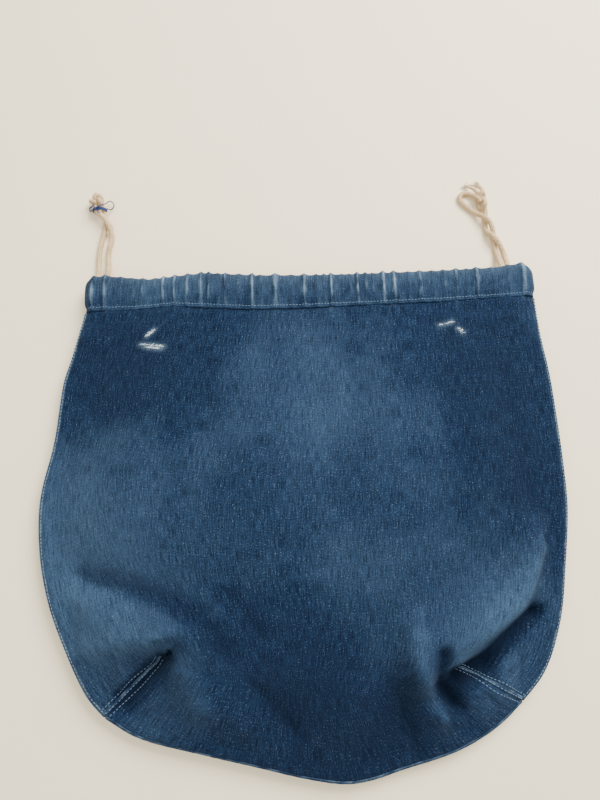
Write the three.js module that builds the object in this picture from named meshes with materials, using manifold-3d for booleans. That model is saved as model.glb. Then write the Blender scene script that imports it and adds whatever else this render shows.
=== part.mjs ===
// A denim mail sack with a boxed bottom and two drawcords, lying nearly empty on its back.
// Millimetres. +X is to the right, +Y towards the mouth, +Z up. The origin is under the middle of the sack.
import * as THREE from "three";
import { mergeVertices } from "three/addons/utils/BufferGeometryUtils.js";
import Module from "manifold-3d";

const wasm = await Module();
wasm.setup();

// Driving dimensions.
const SACK_LENGTH = 482; // mouth edge to the foot of the bottom
const BODY_WIDTH = 512; // across the widest place
const MOUTH_WIDTH = 478; // across the gathered mouth
const MOUTH_SHIFT = 13; // the mouth lies this far to the right of the body's middle
const CASING_HEIGHT = 36; // the hem that the drawcords run in
const BELLY_DROP = 185; // stitch line down to the widest place
const HIP_DROP = 320; // stitch line down to where the sides turn in
const HIP_WIDTH = 458; // across that place
const BASE_SPAN = 374; // between the outer ends of the two corner seams
const BASE_RISE = 61; // foot of the bottom up to those ends
const LOFT = 55; // top of the front panel above the table
const CLOTH = 1; // denim
const CORD = 5.5; // drawcord diameter
const CORD_ROOM = 0.35; // clearance round a cord in the casing
const MOUTH_ROOM = 1.25; // clearance over and under a cord in the mouth
const NECK = 3; // casing thickness where it is sewn down
const SEAM_WIDTH = 5; // sewn edge between the two panels
const SEAM_THICKNESS = 2;
const THREAD = 0.9; // sewing thread
const TIE = 1.2; // thread of the tie on the left cord
const PULL = 30; // how far a cord can be drawn out
const GAP = 0.3; // left between pieces that touch

// Heights and places that follow from them.
const casingThickness = CORD + 2 * (CORD_ROOM + CLOTH);
const mouthGap = CORD + 2 * MOUTH_ROOM;
const rimHeight = casingThickness + mouthGap / 2;
const turnRadius = (mouthGap + casingThickness) / 2;
const casingStraight = MOUTH_WIDTH / 2 - rimHeight;
const mouthY = SACK_LENGTH / 2;
const stitchY = mouthY - CASING_HEIGHT;
const baseY = BASE_RISE - SACK_LENGTH / 2;
const frontRim = rimHeight + SEAM_THICKNESS / 2 + GAP;
const backRim = rimHeight - SEAM_THICKNESS / 2 - GAP;
const LEFT = -1;
const RIGHT = 1;
const cornerX = (side) => MOUTH_SHIFT + (side * MOUTH_WIDTH) / 2;

const denim = { color: 0x3f5a82, roughness: 0.9, metalness: 0 };
const denimSeam = { color: 0x56719a, roughness: 0.9, metalness: 0 };
const cotton = { color: 0xcdbb9a, roughness: 0.85, metalness: 0 };
const paleThread = { color: 0xb9bfc6, roughness: 0.7, metalness: 0 };
const navyThread = { color: 0x1c2d5c, roughness: 0.6, metalness: 0 };

const sack = new THREE.Group();

function addPiece(name, geometry, finish) {
  const piece = new THREE.Mesh(geometry, new THREE.MeshStandardMaterial(finish));
  piece.name = name;
  sack.add(piece);
  return piece;
}

// Solids ---------------------------------------------------------------------------------------

function toSolid(geometry) {
  const bare = geometry.clone();
  bare.deleteAttribute("normal");
  bare.deleteAttribute("uv");
  const merged = mergeVertices(bare, 1e-4);
  const corners = merged.index.array;
  const place = merged.getAttribute("position").array;
  const made = new wasm.Manifold(
    new wasm.Mesh({ numProp: 3, vertProperties: place, triVerts: new Uint32Array(corners) }),
  );
  if (made.volume() > 0) return made;
  const turned = new Uint32Array(corners).reverse();
  return new wasm.Manifold(new wasm.Mesh({ numProp: 3, vertProperties: place, triVerts: turned }));
}

function toGeometry(solid) {
  const { vertProperties, triVerts } = solid.getMesh();
  const geometry = new THREE.BufferGeometry();
  geometry.setAttribute("position", new THREE.BufferAttribute(vertProperties, 3));
  geometry.setIndex(new THREE.BufferAttribute(triVerts, 1));
  geometry.computeVertexNormals();
  return geometry;
}

const facingOut = (geometry) => toGeometry(toSolid(geometry));

// A path that an extrusion follows with one step from each station to the next.
class StationPath extends THREE.Curve {
  constructor(stations) {
    super();
    this.stations = stations;
  }

  between(t, key, target) {
    const place = t * (this.stations.length - 1);
    const first = Math.min(Math.floor(place), this.stations.length - 2);
    return target.lerpVectors(this.stations[first][key], this.stations[first + 1][key], place - first);
  }

  getPoint(t, target = new THREE.Vector3()) {
    return this.between(t, "point", target);
  }

  getPointAt(t, target) {
    return this.getPoint(t, target);
  }

  getTangentAt(t, target = new THREE.Vector3()) {
    return this.between(t, "direction", target).normalize();
  }
}

// Stations round part of a circle that stands across the sack at one y; angles are in degrees.
function arcStations(x, y, z, radius, from, to, steps) {
  const stations = [];
  for (let step = 0; step <= steps; step++) {
    const angle = THREE.MathUtils.degToRad(from + ((to - from) * step) / steps);
    const turn = Math.sign(to - from);
    stations.push({
      point: new THREE.Vector3(x + radius * Math.cos(angle), y, z + radius * Math.sin(angle)),
      direction: new THREE.Vector3(-turn * Math.sin(angle), 0, turn * Math.cos(angle)),
    });
  }
  return stations;
}

function roundSection(diameter, sides) {
  const points = [];
  for (let side = 0; side < sides; side++) {
    const angle = ((side + 0.5) * 2 * Math.PI) / sides;
    points.push(new THREE.Vector2(Math.cos(angle), Math.sin(angle)).multiplyScalar(diameter / 2));
  }
  return new THREE.Shape(points);
}

function sweep(section, path, steps) {
  return facingOut(new THREE.ExtrudeGeometry(section, { steps, extrudePath: path, curveSegments: 5 }));
}

function sweepStations(section, stations) {
  return sweep(section, new StationPath(stations), stations.length - 1);
}

// A thin sheet between two surfaces, each a function of u (left to right) and v (bottom to mouth).
function sheet(under, over, columns, rows, spread = (t) => t) {
  const geometry = new THREE.BoxGeometry(1, 1, 1, columns, rows, 1);
  const place = geometry.getAttribute("position");
  for (let i = 0; i < place.count; i++) {
    const surface = place.getZ(i) > 0 ? over : under;
    const point = surface(spread(place.getX(i) + 0.5), spread(place.getY(i) + 0.5));
    place.setXYZ(i, point.x, point.y, point.z);
  }
  return facingOut(geometry);
}

const closerAtEdges = (t) => (1 - Math.cos(Math.PI * t)) / 2;

// Outline of the body ----------------------------------------------------------------------------

const neckHalf = casingStraight + turnRadius + NECK / 2;

function sideCurve(side) {
  return new THREE.CatmullRomCurve3([
    new THREE.Vector3((side * BASE_SPAN) / 2, baseY, 0),
    new THREE.Vector3((side * HIP_WIDTH) / 2, stitchY - HIP_DROP, 0),
    new THREE.Vector3((side * BODY_WIDTH) / 2, stitchY - BELLY_DROP, 0),
    new THREE.Vector3(MOUTH_SHIFT + side * neckHalf, stitchY - GAP, 0),
  ]);
}

const leftSide = sideCurve(LEFT);
const rightSide = sideCurve(RIGHT);
const baseLeft = leftSide.getPoint(0);
const baseRight = rightSide.getPoint(0);
const neckLeft = leftSide.getPoint(1);
const neckRight = rightSide.getPoint(1);
const baseCurve = new THREE.QuadraticBezierCurve3(
  baseLeft,
  new THREE.Vector3(0, baseY - 2 * BASE_RISE, 0),
  baseRight,
);

// The place in plan of (u, v) on either panel, blended from the four edges.
function planPoint(u, v) {
  const across = baseCurve.getPoint(u).multiplyScalar(1 - v);
  across.addScaledVector(neckLeft, v * (1 - u)).addScaledVector(neckRight, v * u);
  const along = leftSide.getPointAt(v).multiplyScalar(1 - u);
  along.addScaledVector(rightSide.getPointAt(v), u);
  const corners = baseLeft.clone().multiplyScalar((1 - u) * (1 - v));
  corners.addScaledVector(baseRight, u * (1 - v));
  corners.addScaledVector(neckLeft, (1 - u) * v).addScaledVector(neckRight, u * v);
  return across.add(along).sub(corners);
}

// Panels -----------------------------------------------------------------------------------------

// How far the neck of a casing stands from the rim's height at a place across the mouth.
function neckOffset(x) {
  const past = THREE.MathUtils.clamp((Math.abs(x - MOUTH_SHIFT) - casingStraight) / turnRadius, 0, 1);
  return turnRadius * Math.sqrt(1 - past * past);
}

const NECK_FADE = 6; // how fast the casing's height fades into the panel
const CROWN_TOP = 0.4015; // greatest value of the lengthwise crown before it is scaled

function crown(u, v) {
  const across = (1 - Math.abs(2 * u - 1) ** 2.4) ** 0.7;
  const along = (v ** 0.55 * (1 - v) ** 0.8) / CROWN_TOP;
  return across * along;
}

function frontInside(u, v) {
  const point = planPoint(u, v);
  const neck = Math.max(neckOffset(point.x) - CLOTH / 2 - (frontRim - rimHeight), 0);
  const rise = LOFT - CLOTH - frontRim;
  point.z = frontRim + neck * v ** NECK_FADE + (rise - neck * v ** NECK_FADE) * crown(u, v);
  return point;
}

const BACK_SAG = 45; // how deep the back would hang if the table weren't there

function backInside(u, v) {
  const point = planPoint(u, v);
  const neck = Math.max(neckOffset(point.x) - CLOTH / 2 - (rimHeight - backRim), 0);
  point.z = Math.max(backRim - neck * v ** NECK_FADE - BACK_SAG * crown(u, v), CLOTH);
  return point;
}

// The other face of the cloth, a cloth's thickness away across the slope.
function farFace(surface, direction, u, v) {
  const step = 0.004;
  const here = surface(u, v);
  const a = surface(Math.min(u + step, 1), v).sub(surface(Math.max(u - step, 0), v));
  const b = surface(u, Math.min(v + step, 1)).sub(surface(u, Math.max(v - step, 0)));
  const level = Math.abs(a.cross(b).normalize().z);
  here.z = Math.max(here.z + (direction * CLOTH) / Math.max(level, 0.5), 0);
  return here;
}

const frontOutside = (u, v) => farFace(frontInside, 1, u, v);
const backOutside = (u, v) => farFace(backInside, -1, u, v);

addPiece("front_panel", sheet(frontInside, frontOutside, 24, 18, closerAtEdges), denim);
addPiece("back_panel", sheet(backOutside, backInside, 24, 18, closerAtEdges), denim);

// Casings ----------------------------------------------------------------------------------------

function casingSection() {
  const half = casingThickness / 2;
  const shoulder = CASING_HEIGHT - 10;
  const sewn = CASING_HEIGHT - NECK;
  const section = new THREE.Shape();
  section.moveTo(half, -half);
  section.lineTo(shoulder, -half);
  section.lineTo(sewn, -NECK / 2);
  section.lineTo(CASING_HEIGHT, -NECK / 2);
  section.lineTo(CASING_HEIGHT, NECK / 2);
  section.lineTo(sewn, NECK / 2);
  section.lineTo(shoulder, half);
  section.lineTo(half, half);
  section.absarc(half, 0, half, Math.PI / 2, (3 * Math.PI) / 2);
  const inside = half - CLOTH;
  const channel = new THREE.Path();
  channel.moveTo(half, inside);
  channel.lineTo(shoulder - CLOTH, inside);
  channel.lineTo(shoulder - CLOTH, -inside);
  channel.lineTo(half, -inside);
  channel.absarc(half, 0, inside, (3 * Math.PI) / 2, Math.PI / 2, true);
  section.holes.push(channel);
  return section;
}

// Half of the ring round the mouth, from the left side seam to the right one; up is 1 in front, -1 behind.
function casing(up) {
  const seamGap = THREE.MathUtils.radToDeg(Math.asin(GAP / mouthGap));
  const bend = (side, from, to) =>
    arcStations(MOUTH_SHIFT + side * casingStraight, mouthY, rimHeight, turnRadius, from, to, 5);
  const stations = [
    ...bend(LEFT, 180 - up * seamGap, 180 - up * 90),
    ...bend(RIGHT, up * 90, up * seamGap),
  ];
  return sweepStations(casingSection(), stations);
}

// Where a cord passes from the casing into the mouth.
const SLIT = CORD + 3;

function cutSlit(casingGeometry, x, y, up) {
  const slit = new THREE.BoxGeometry(SLIT, SLIT, CLOTH + 2 * GAP);
  slit.translate(x, y, rimHeight + up * (mouthGap / 2 + CLOTH / 2));
  return toGeometry(toSolid(casingGeometry).subtract(toSolid(slit)));
}

// Drawcords --------------------------------------------------------------------------------------

const laneSpacing = CORD + 1.5; // between the two cords that share the casing
const tableZ = CORD / 2 + 0.15; // height of a cord that lies on the table
// Height of a cord on its way over another one: 0 lies on the table, 1 is on top.
const over = (share) => tableZ + share * (CORD + 2 * GAP);
// Height of a cord on its way down from the mouth: 1 is in the mouth, 0 on the table.
const drop = (share) => tableZ + share * (rimHeight - tableZ);
const inMouth = rimHeight;

// Each cord leaves the mouth beside its own corner. Route points count from that corner of the mouth.
// lane: how far the run lies below the mouth edge; exits: where the strands lie in the mouth.
const leftCord = {
  side: LEFT,
  lane: laneSpacing,
  exits: { back: 13, front: 22 },
  strandA: [
    [13, 2, inMouth], [12.8, 6, drop(0.97)], [12, 12, drop(0.73)], [11, 18, drop(0.38)],
    [10, 24, drop(0.1)], [9.5, 30, drop(0.01)], [9.4, 42, tableZ], [10.8, 54, tableZ],
    [12.6, 64, tableZ], [14.1, 73, tableZ], [14.9, 81, tableZ], [14.4, 87, over(0.07)],
    [12.5, 94, over(0.36)], [9, 101, over(0.6)], [5, 105, over(0.6)],
  ],
  strandB: [
    [22, 2, inMouth], [22, 6, drop(0.97)], [21.7, 12, drop(0.73)], [21.2, 18, drop(0.4)],
    [20.6, 24, drop(0.12)], [20, 30, drop(0.01)], [19.4, 40, tableZ], [20.5, 50, tableZ],
    [22.5, 60, over(0.03)], [21.4, 67, over(0.28)], [19.4, 73.5, over(0.78)], [16.2, 80, over(1)],
    [10.2, 87, over(0.95)], [4.8, 92.5, over(0.66)], [2.6, 98, over(0.55)], [4, 104, over(0.6)],
  ],
  knot: { at: [4.5, 105.5], size: [18, 19, 13] },
};
const rightCord = {
  side: RIGHT,
  lane: 2 * laneSpacing,
  exits: { back: -25, front: -32 },
  strandA: [
    [-32, 2, inMouth], [-31.8, 6, drop(0.97)], [-31.6, 12, drop(0.73)], [-31.5, 18, drop(0.38)],
    [-31.8, 24, drop(0.1)], [-32.1, 30, drop(0.01)], [-32.6, 36, tableZ], [-32.8, 42, tableZ],
    [-32.4, 47, over(0.02)], [-32.6, 52, over(0.22)], [-34.2, 57, over(0.66)], [-37.2, 62.5, over(1)],
    [-41, 67.5, over(0.96)], [-45.2, 72, over(0.55)], [-50, 77, over(0.14)], [-55.5, 82.5, tableZ],
    [-61, 88, tableZ], [-64.6, 94, tableZ], [-64, 99.5, tableZ], [-59, 102, tableZ],
    [-53, 100.5, over(0.1)], [-48, 97, over(0.4)], [-44, 93, over(0.6)],
  ],
  strandB: [
    [-25, 2, inMouth], [-24.9, 6, drop(0.97)], [-24.4, 12, drop(0.73)], [-24.2, 18, drop(0.42)],
    [-24.8, 24.5, over(0.42)], [-27, 31, over(0.56)], [-30, 37, over(0.88)], [-33, 42, over(1)],
    [-36.5, 47, over(0.74)], [-39.2, 52.5, over(0.24)], [-40, 58, over(0.02)], [-39.6, 64, tableZ],
    [-38.8, 70, tableZ], [-38, 76, over(0.08)], [-38.8, 82, over(0.35)], [-42, 90, over(0.6)],
  ],
  knot: { at: [-42.5, 91], size: [16, 26, 13] },
  ends: [
    [[-44, 96, over(0.6)], [-46.5, 102.5, over(0.7)], [-50, 107, over(0.45)], [-53.5, 110, over(0.1)]],
    [[-40, 97, over(0.6)], [-39.5, 104, over(0.55)], [-40.5, 108.5, over(0.3)], [-42.5, 112, over(0.03)]],
  ],
};

// A cord's whole way inside the casing, from its front slit round the far end to its back slit.
function cordRun({ side, lane, exits }) {
  const y = mouthY - lane;
  const inward = new THREE.Vector3(-side, 0, 0);
  const end = (exit, up) => ({
    point: new THREE.Vector3(cornerX(side) + exit, y, rimHeight + up * turnRadius),
    direction: inward.clone().multiplyScalar(up),
  });
  const farX = MOUTH_SHIFT - side * casingStraight;
  const turn = side < 0 ? [90, -90] : [90, 270];
  const farEnd = arcStations(farX, y, rimHeight, turnRadius, ...turn, 10);
  return sweepStations(roundSection(CORD, 8), [end(exits.front, 1), ...farEnd, end(exits.back, -1)]);
}

function knotShape({ side, knot }, margin) {
  const [width, length, height] = knot.size;
  const shape = new THREE.SphereGeometry(1, 20, 12);
  shape.scale(width / 2 + margin, length / 2 + margin, height / 2 + margin);
  shape.translate(cornerX(side) + knot.at[0], mouthY + knot.at[1], height / 2);
  return shape;
}

function routeCurve(side, points) {
  const place = ([x, y, z]) => new THREE.Vector3(cornerX(side) + x, mouthY + y, z);
  return new THREE.CatmullRomCurve3(points.map(place));
}

// A tube along a route, stopped where it meets the cord's knot.
function cordTube(cord, points) {
  const curve = routeCurve(cord.side, points);
  const tube = sweep(roundSection(CORD, 8), curve, Math.round(curve.getLength() / CORD));
  return toGeometry(toSolid(tube).subtract(toSolid(knotShape(cord, GAP))));
}

// A strand starts deep enough in the mouth to stay under its slit when the cord is drawn out.
function strand(cord, exit, points) {
  const tail = -cord.lane - CORD / 2 - PULL - 1;
  const straight = [tail, tail * 0.75, tail * 0.5, tail * 0.25].map((y) => [exit, y, inMouth]);
  return cordTube(cord, [...straight, ...points]);
}

function addCord(name, cord) {
  addPiece(`${name}_drawcord_run`, cordRun(cord), cotton);
  addPiece(`${name}_strand_a`, strand(cord, cord.strandA[0][0], cord.strandA), cotton);
  addPiece(`${name}_strand_b`, strand(cord, cord.strandB[0][0], cord.strandB), cotton);
  addPiece(`${name}_knot`, facingOut(knotShape(cord, 0)), cotton);
  (cord.ends ?? []).forEach((points, index) => {
    addPiece(`${name}_cord_end_${index + 1}`, cordTube(cord, points), cotton);
  });
}

addCord("left", leftCord);
addCord("right", rightCord);

let frontCasing = casing(1);
let backCasing = casing(-1);
for (const { side, lane, exits } of [leftCord, rightCord]) {
  frontCasing = cutSlit(frontCasing, cornerX(side) + exits.front, mouthY - lane, 1);
  backCasing = cutSlit(backCasing, cornerX(side) + exits.back, mouthY - lane, -1);
}
addPiece("front_casing", frontCasing, denim);
addPiece("back_casing", backCasing, denim);

// The thread wound round both strands of the left cord under its knot.
function tieRing() {
  const inside = { width: 2 * CORD + 6, low: TIE + GAP, high: over(0.6) + CORD / 2 + 2 * GAP };
  const height = inside.high - inside.low;
  const ringShape = (margin, Kind) => {
    const shape = new Kind();
    const radius = height / 2 + margin;
    const reach = inside.width / 2 - height / 2;
    shape.absarc(reach, 0, radius, -Math.PI / 2, Math.PI / 2);
    shape.absarc(-reach, 0, radius, Math.PI / 2, (3 * Math.PI) / 2);
    return shape;
  };
  const ring = ringShape(TIE, THREE.Shape);
  ring.holes.push(ringShape(0, THREE.Path));
  const geometry = new THREE.ExtrudeGeometry(ring, { depth: TIE, bevelEnabled: false, curveSegments: 6 });
  geometry.rotateX(Math.PI / 2);
  geometry.translate(cornerX(LEFT) + 8.2, mouthY + 94.5, (inside.low + inside.high) / 2);
  return facingOut(geometry);
}

addPiece("left_tie_thread", tieRing(), navyThread);

// Seams ------------------------------------------------------------------------------------------

// A flat strip that follows a curve in plan, lying inside it by the seam's width.
function seamStrip(curve, from, to, inward, steps) {
  const outer = [];
  const inner = [];
  for (let step = 0; step <= steps; step++) {
    const t = from + ((to - from) * step) / steps;
    const point = curve.getPointAt(t);
    const along = curve.getTangentAt(t).multiplyScalar(inward * SEAM_WIDTH);
    outer.push(new THREE.Vector2(point.x, point.y));
    inner.push(new THREE.Vector2(point.x - along.y, point.y + along.x));
  }
  const outline = new THREE.Shape([...outer, ...inner.reverse()]);
  const geometry = new THREE.ExtrudeGeometry(outline, { depth: SEAM_THICKNESS, bevelEnabled: false });
  geometry.translate(0, 0, rimHeight - SEAM_THICKNESS / 2);
  return facingOut(geometry);
}

const cornerTurn = leftSide.getTangentAt(0).negate().angleTo(baseCurve.getTangentAt(0));
const baseSeamStart = (SEAM_WIDTH * Math.tan(cornerTurn) + 2 * GAP) / baseCurve.getLength();
addPiece("left_side_seam", seamStrip(leftSide, 0, 1, -1, 20), denimSeam);
addPiece("right_side_seam", seamStrip(rightSide, 0, 1, 1, 20), denimSeam);
addPiece("bottom_seam", seamStrip(baseCurve, baseSeamStart, 1 - baseSeamStart, 1, 16), denimSeam);

// The seam allowance inside each boxed corner, under the front panel from the corner's point inwards.
const CORNER_SEAM = { from: [0.05, 0.06], to: [0.15, 0.2], halfWidth: 0.012, room: 1.5 };

function cornerSeam(side) {
  const { from, to, halfWidth, room } = CORNER_SEAM;
  const surface = (depth) => (u, v) => {
    const across = THREE.MathUtils.lerp(from[0], to[0], v) + (u - 0.5) * 2 * halfWidth;
    const along = THREE.MathUtils.lerp(from[1], to[1], v) - (u - 0.5) * 2 * halfWidth;
    const point = frontInside(side < 0 ? across : 1 - across, along);
    point.z -= depth;
    return point;
  };
  return sheet(surface(room + SEAM_THICKNESS), surface(room), 1, 8);
}

addPiece("left_corner_seam", cornerSeam(LEFT), denimSeam);
addPiece("right_corner_seam", cornerSeam(RIGHT), denimSeam);

// Stitching --------------------------------------------------------------------------------------

function casingStitching(up) {
  const y = stitchY + NECK / 2;
  const z = rimHeight + up * (turnRadius + NECK / 2 + GAP + THREAD / 2);
  const end = (side) => new THREE.Vector3(MOUTH_SHIFT + side * casingStraight, y, z);
  return sweep(roundSection(THREAD, 6), new THREE.LineCurve3(end(LEFT), end(RIGHT)), 1);
}

const STITCH_INSET = 8; // side stitching in from the outline
const STITCH_CLEARANCE = 1.6; // over the panel's facets

function sideStitching(side) {
  const inset = STITCH_INSET / BODY_WIDTH;
  const points = [];
  for (let step = 0; step <= 12; step++) {
    const point = frontOutside(side < 0 ? inset : 1 - inset, 0.05 + (0.9 * step) / 12);
    point.z += THREAD / 2 + STITCH_CLEARANCE;
    points.push(point);
  }
  return sweep(roundSection(THREAD, 6), new THREE.CatmullRomCurve3(points), 30);
}

addPiece("front_casing_stitching", casingStitching(1), paleThread);
addPiece("back_casing_stitching", casingStitching(-1), paleThread);
addPiece("left_side_stitching", sideStitching(LEFT), paleThread);
addPiece("right_side_stitching", sideStitching(RIGHT), paleThread);

export default sack;
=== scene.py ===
"""The looks of a denim mail sack that lies nearly empty on its back, with a knotted cord at each side."""

import logging
import math
import random
from dataclasses import dataclass, field
from enum import Enum
from functools import cache, cached_property
from typing import Callable, Sequence

import bmesh
import bpy
import numpy as np
from mathutils import Matrix, Vector, noise


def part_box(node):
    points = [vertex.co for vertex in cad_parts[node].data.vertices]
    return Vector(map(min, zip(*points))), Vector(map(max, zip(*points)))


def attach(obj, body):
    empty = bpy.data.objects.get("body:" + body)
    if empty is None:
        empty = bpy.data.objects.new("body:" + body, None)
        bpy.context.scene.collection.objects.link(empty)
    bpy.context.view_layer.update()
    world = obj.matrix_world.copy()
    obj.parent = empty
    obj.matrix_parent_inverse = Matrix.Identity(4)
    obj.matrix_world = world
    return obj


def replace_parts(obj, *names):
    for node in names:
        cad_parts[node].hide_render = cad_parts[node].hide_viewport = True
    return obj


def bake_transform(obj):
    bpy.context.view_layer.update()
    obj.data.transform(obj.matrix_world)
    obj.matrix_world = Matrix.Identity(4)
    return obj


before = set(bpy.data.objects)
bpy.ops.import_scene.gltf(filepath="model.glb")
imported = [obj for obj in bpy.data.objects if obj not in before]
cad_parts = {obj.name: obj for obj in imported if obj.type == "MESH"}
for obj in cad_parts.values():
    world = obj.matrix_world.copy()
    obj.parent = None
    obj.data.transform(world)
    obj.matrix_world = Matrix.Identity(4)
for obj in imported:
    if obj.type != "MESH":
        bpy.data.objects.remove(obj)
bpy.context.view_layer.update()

log = logging.getLogger("mail_sack")

Point = tuple[float, float, float]


@cache
def node_box(node: str) -> tuple[Vector, Vector]:
    """Return the lowest and the highest corner of one of the frame's nodes."""
    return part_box(node)


# Curves and meshes -------------------------------------------------------------------------------


def curve_through(points: Sequence[Sequence[float]], step: float) -> np.ndarray:
    """Run a smooth curve through points.

    Args:
        points: The places that the curve passes, in metres.
        step: About how far apart the samples are.

    Returns:
        The sampled curve, one row a point.
    """
    given = np.array(points, float)
    padded = np.vstack([2 * given[0] - given[1], given, 2 * given[-1] - given[-2]])
    samples = []
    for first in range(len(given) - 1):
        p0, p1, p2, p3 = padded[first:first + 4]
        spans = ((p0, p1), (p1, p2), (p2, p3))
        d0, d1, d2 = (math.sqrt(max(np.linalg.norm(end - start), 1e-9)) for start, end in spans)
        leave = d1 * ((p1 - p0) / d0 - (p2 - p0) / (d0 + d1) + (p2 - p1) / d1)
        arrive = d1 * ((p2 - p1) / d1 - (p3 - p1) / (d1 + d2) + (p3 - p2) / d2)
        count = max(2, math.ceil(np.linalg.norm(p2 - p1) / step))
        t = np.linspace(0, 1, count, endpoint=False)[:, None]
        samples.append(
            (2 * t**3 - 3 * t**2 + 1) * p1
            + (t**3 - 2 * t**2 + t) * leave
            + (3 * t**2 - 2 * t**3) * p2
            + (t**3 - t**2) * arrive
        )
    samples.append(given[-1:])
    return np.vstack(samples)


def lengths_along(line: np.ndarray) -> np.ndarray:
    """Return how far along a line each of its points lies."""
    return np.concatenate([[0.0], np.cumsum(np.linalg.norm(np.diff(line, axis=0), axis=1))])


def points_at(line: np.ndarray, shares: np.ndarray) -> np.ndarray:
    """Return the points at these shares of a line's length."""
    travelled = lengths_along(line)
    places = np.asarray(shares, float) * travelled[-1]
    return np.stack([np.interp(places, travelled, line[:, axis]) for axis in range(line.shape[1])], axis=-1)


def frames_along(line: np.ndarray) -> tuple[np.ndarray, np.ndarray]:
    """Carry two cross directions along a line without twisting them.

    Args:
        line: The line's points.

    Returns:
        Two arrays of unit vectors square to the line and to each other.
    """
    tangents = np.gradient(line, axis=0)
    tangents /= np.linalg.norm(tangents, axis=1)[:, None]
    up = np.array([0.0, 0.0, 1.0]) if abs(tangents[0][2]) < 0.9 else np.array([1.0, 0.0, 0.0])
    sides, ups = [], []
    for tangent in tangents:
        up = up - tangent * (up @ tangent)
        up = up / np.linalg.norm(up)
        sides.append(np.cross(tangent, up))
        ups.append(up)
    return np.array(sides), np.array(ups)


def filled_patch(low: np.ndarray, high: np.ndarray, left: np.ndarray, right: np.ndarray) -> np.ndarray:
    """Fill the space between four edges that meet at their ends.

    Args:
        low: The near edge's points, from left to right.
        high: The far edge's points, as many as the near edge's.
        left: The left edge's points, from near to far.
        right: The right edge's points, as many as the left edge's.

    Returns:
        The points by place across, place along and axis.
    """
    s = np.linspace(0, 1, len(low))[:, None, None]
    t = np.linspace(0, 1, len(left))[None, :, None]
    along = (1 - t) * low[:, None] + t * high[:, None]
    across = (1 - s) * left[None] + s * right[None]
    corners = (1 - t) * ((1 - s) * low[0] + s * low[-1]) + t * ((1 - s) * high[0] + s * high[-1])
    return along + across - corners


def smooth_share(value: np.ndarray) -> np.ndarray:
    """Return a soft step from 0 to 1 as value goes from 0 to 1."""
    held = np.clip(value, 0, 1)
    return held * held * (3 - 2 * held)


def bent_grid(bm: bmesh.types.BMesh, columns: int, rows: int,
              place: Callable[[float, float], Sequence[float]],
              flat: tuple[float, float] = (1.0, 1.0)) -> None:
    """Add a grid of faces and bend it to a shape.

    Args:
        bm: The mesh that gets the grid.
        columns: Faces across.
        rows: Faces along.
        place: Gives the point for shares (s, t) across and along.
        flat: The grid's size as cut, which its UV map follows in metres.
    """
    uv = bm.loops.layers.uv.verify()
    made = bmesh.ops.create_grid(bm, x_segments=columns, y_segments=rows, size=1.0)["verts"]
    shares = {vert: ((vert.co.x + 1) / 2, (vert.co.y + 1) / 2) for vert in made}
    for face in {face for vert in made for face in vert.link_faces}:
        for loop in face.loops:
            s, t = shares[loop.vert]
            loop[uv].uv = (s * flat[0], t * flat[1])
    for vert, (s, t) in shares.items():
        vert.co = place(s, t)


def tube(bm: bmesh.types.BMesh, line: np.ndarray, radius: float, sides: int = 10,
         shape: Callable[[float, float], float] = lambda angle, along: 1.0) -> None:
    """Add a closed tube along a line.

    Args:
        bm: The mesh that gets the tube.
        line: The tube's middle line.
        radius: Its greatest radius.
        sides: Faces round it.
        shape: The share of the radius at an angle and a distance along.
    """
    across, up = frames_along(line)
    travelled = lengths_along(line)
    last = len(line) - 1
    before = set(bm.verts)

    def place(s: float, t: float) -> Sequence[float]:
        """Return the tube's point at share s round it and t along it."""
        ring = round(t * last)
        angle = 2 * math.pi * (round(s * sides) % sides) / sides
        reach = radius * shape(angle, travelled[ring])
        return line[ring] + across[ring] * reach * math.cos(angle) + up[ring] * reach * math.sin(angle)

    bent_grid(bm, sides, last, place, (2 * math.pi * radius, travelled[-1]))
    made = [vert for vert in bm.verts if vert not in before]
    bmesh.ops.remove_doubles(bm, verts=made, dist=1e-7)
    made = [vert for vert in bm.verts if vert not in before]
    rims = {edge for vert in made for edge in vert.link_edges if edge.is_boundary}
    bmesh.ops.holes_fill(bm, edges=list(rims), sides=sides)


def new_piece(name: str, bm: bmesh.types.BMesh, material: bpy.types.Material, slot: str,
              closed: bool = True) -> bpy.types.Object:
    """Turn a bmesh into a named piece.

    Args:
        name: The piece's name.
        bm: Its mesh, which is used up.
        material: Its finish.
        slot: The record's material slot; not used.
        closed: Whether the mesh is closed, so that its faces can be turned outwards.

    Returns:
        The new object, at the origin.
    """
    if closed:
        bmesh.ops.recalc_face_normals(bm, faces=list(bm.faces))
    mesh = bpy.data.meshes.new(name)
    bm.to_mesh(mesh)
    bm.free()
    mesh.shade_smooth()
    mesh.materials.append(material)
    piece = bpy.data.objects.new(name, mesh)
    bpy.context.scene.collection.objects.link(piece)
    return piece


def apply_modifiers(piece: bpy.types.Object) -> None:
    """Make what a piece's modifiers show its own mesh."""
    graph = bpy.context.evaluated_depsgraph_get()
    shaped = bpy.data.meshes.new_from_object(
        piece.evaluated_get(graph), preserve_all_data_layers=True, depsgraph=graph
    )
    piece.modifiers.clear()
    piece.data = shaped


def thicken(piece: bpy.types.Object, thickness: float, offset: float) -> None:
    """Give a sheet its cloth's thickness and apply it."""
    solid = piece.modifiers.new("thickness", "SOLIDIFY")
    solid.thickness = thickness
    solid.offset = offset
    apply_modifiers(piece)
    piece.data.shade_smooth()


def set_attribute(piece: bpy.types.Object, name: str, values: np.ndarray) -> None:
    """Store one number for each vertex, for the finish to read."""
    made = piece.data.attributes.new(name, "FLOAT", "POINT")
    made.data.foreach_set("value", np.asarray(values, np.float32))


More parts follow.
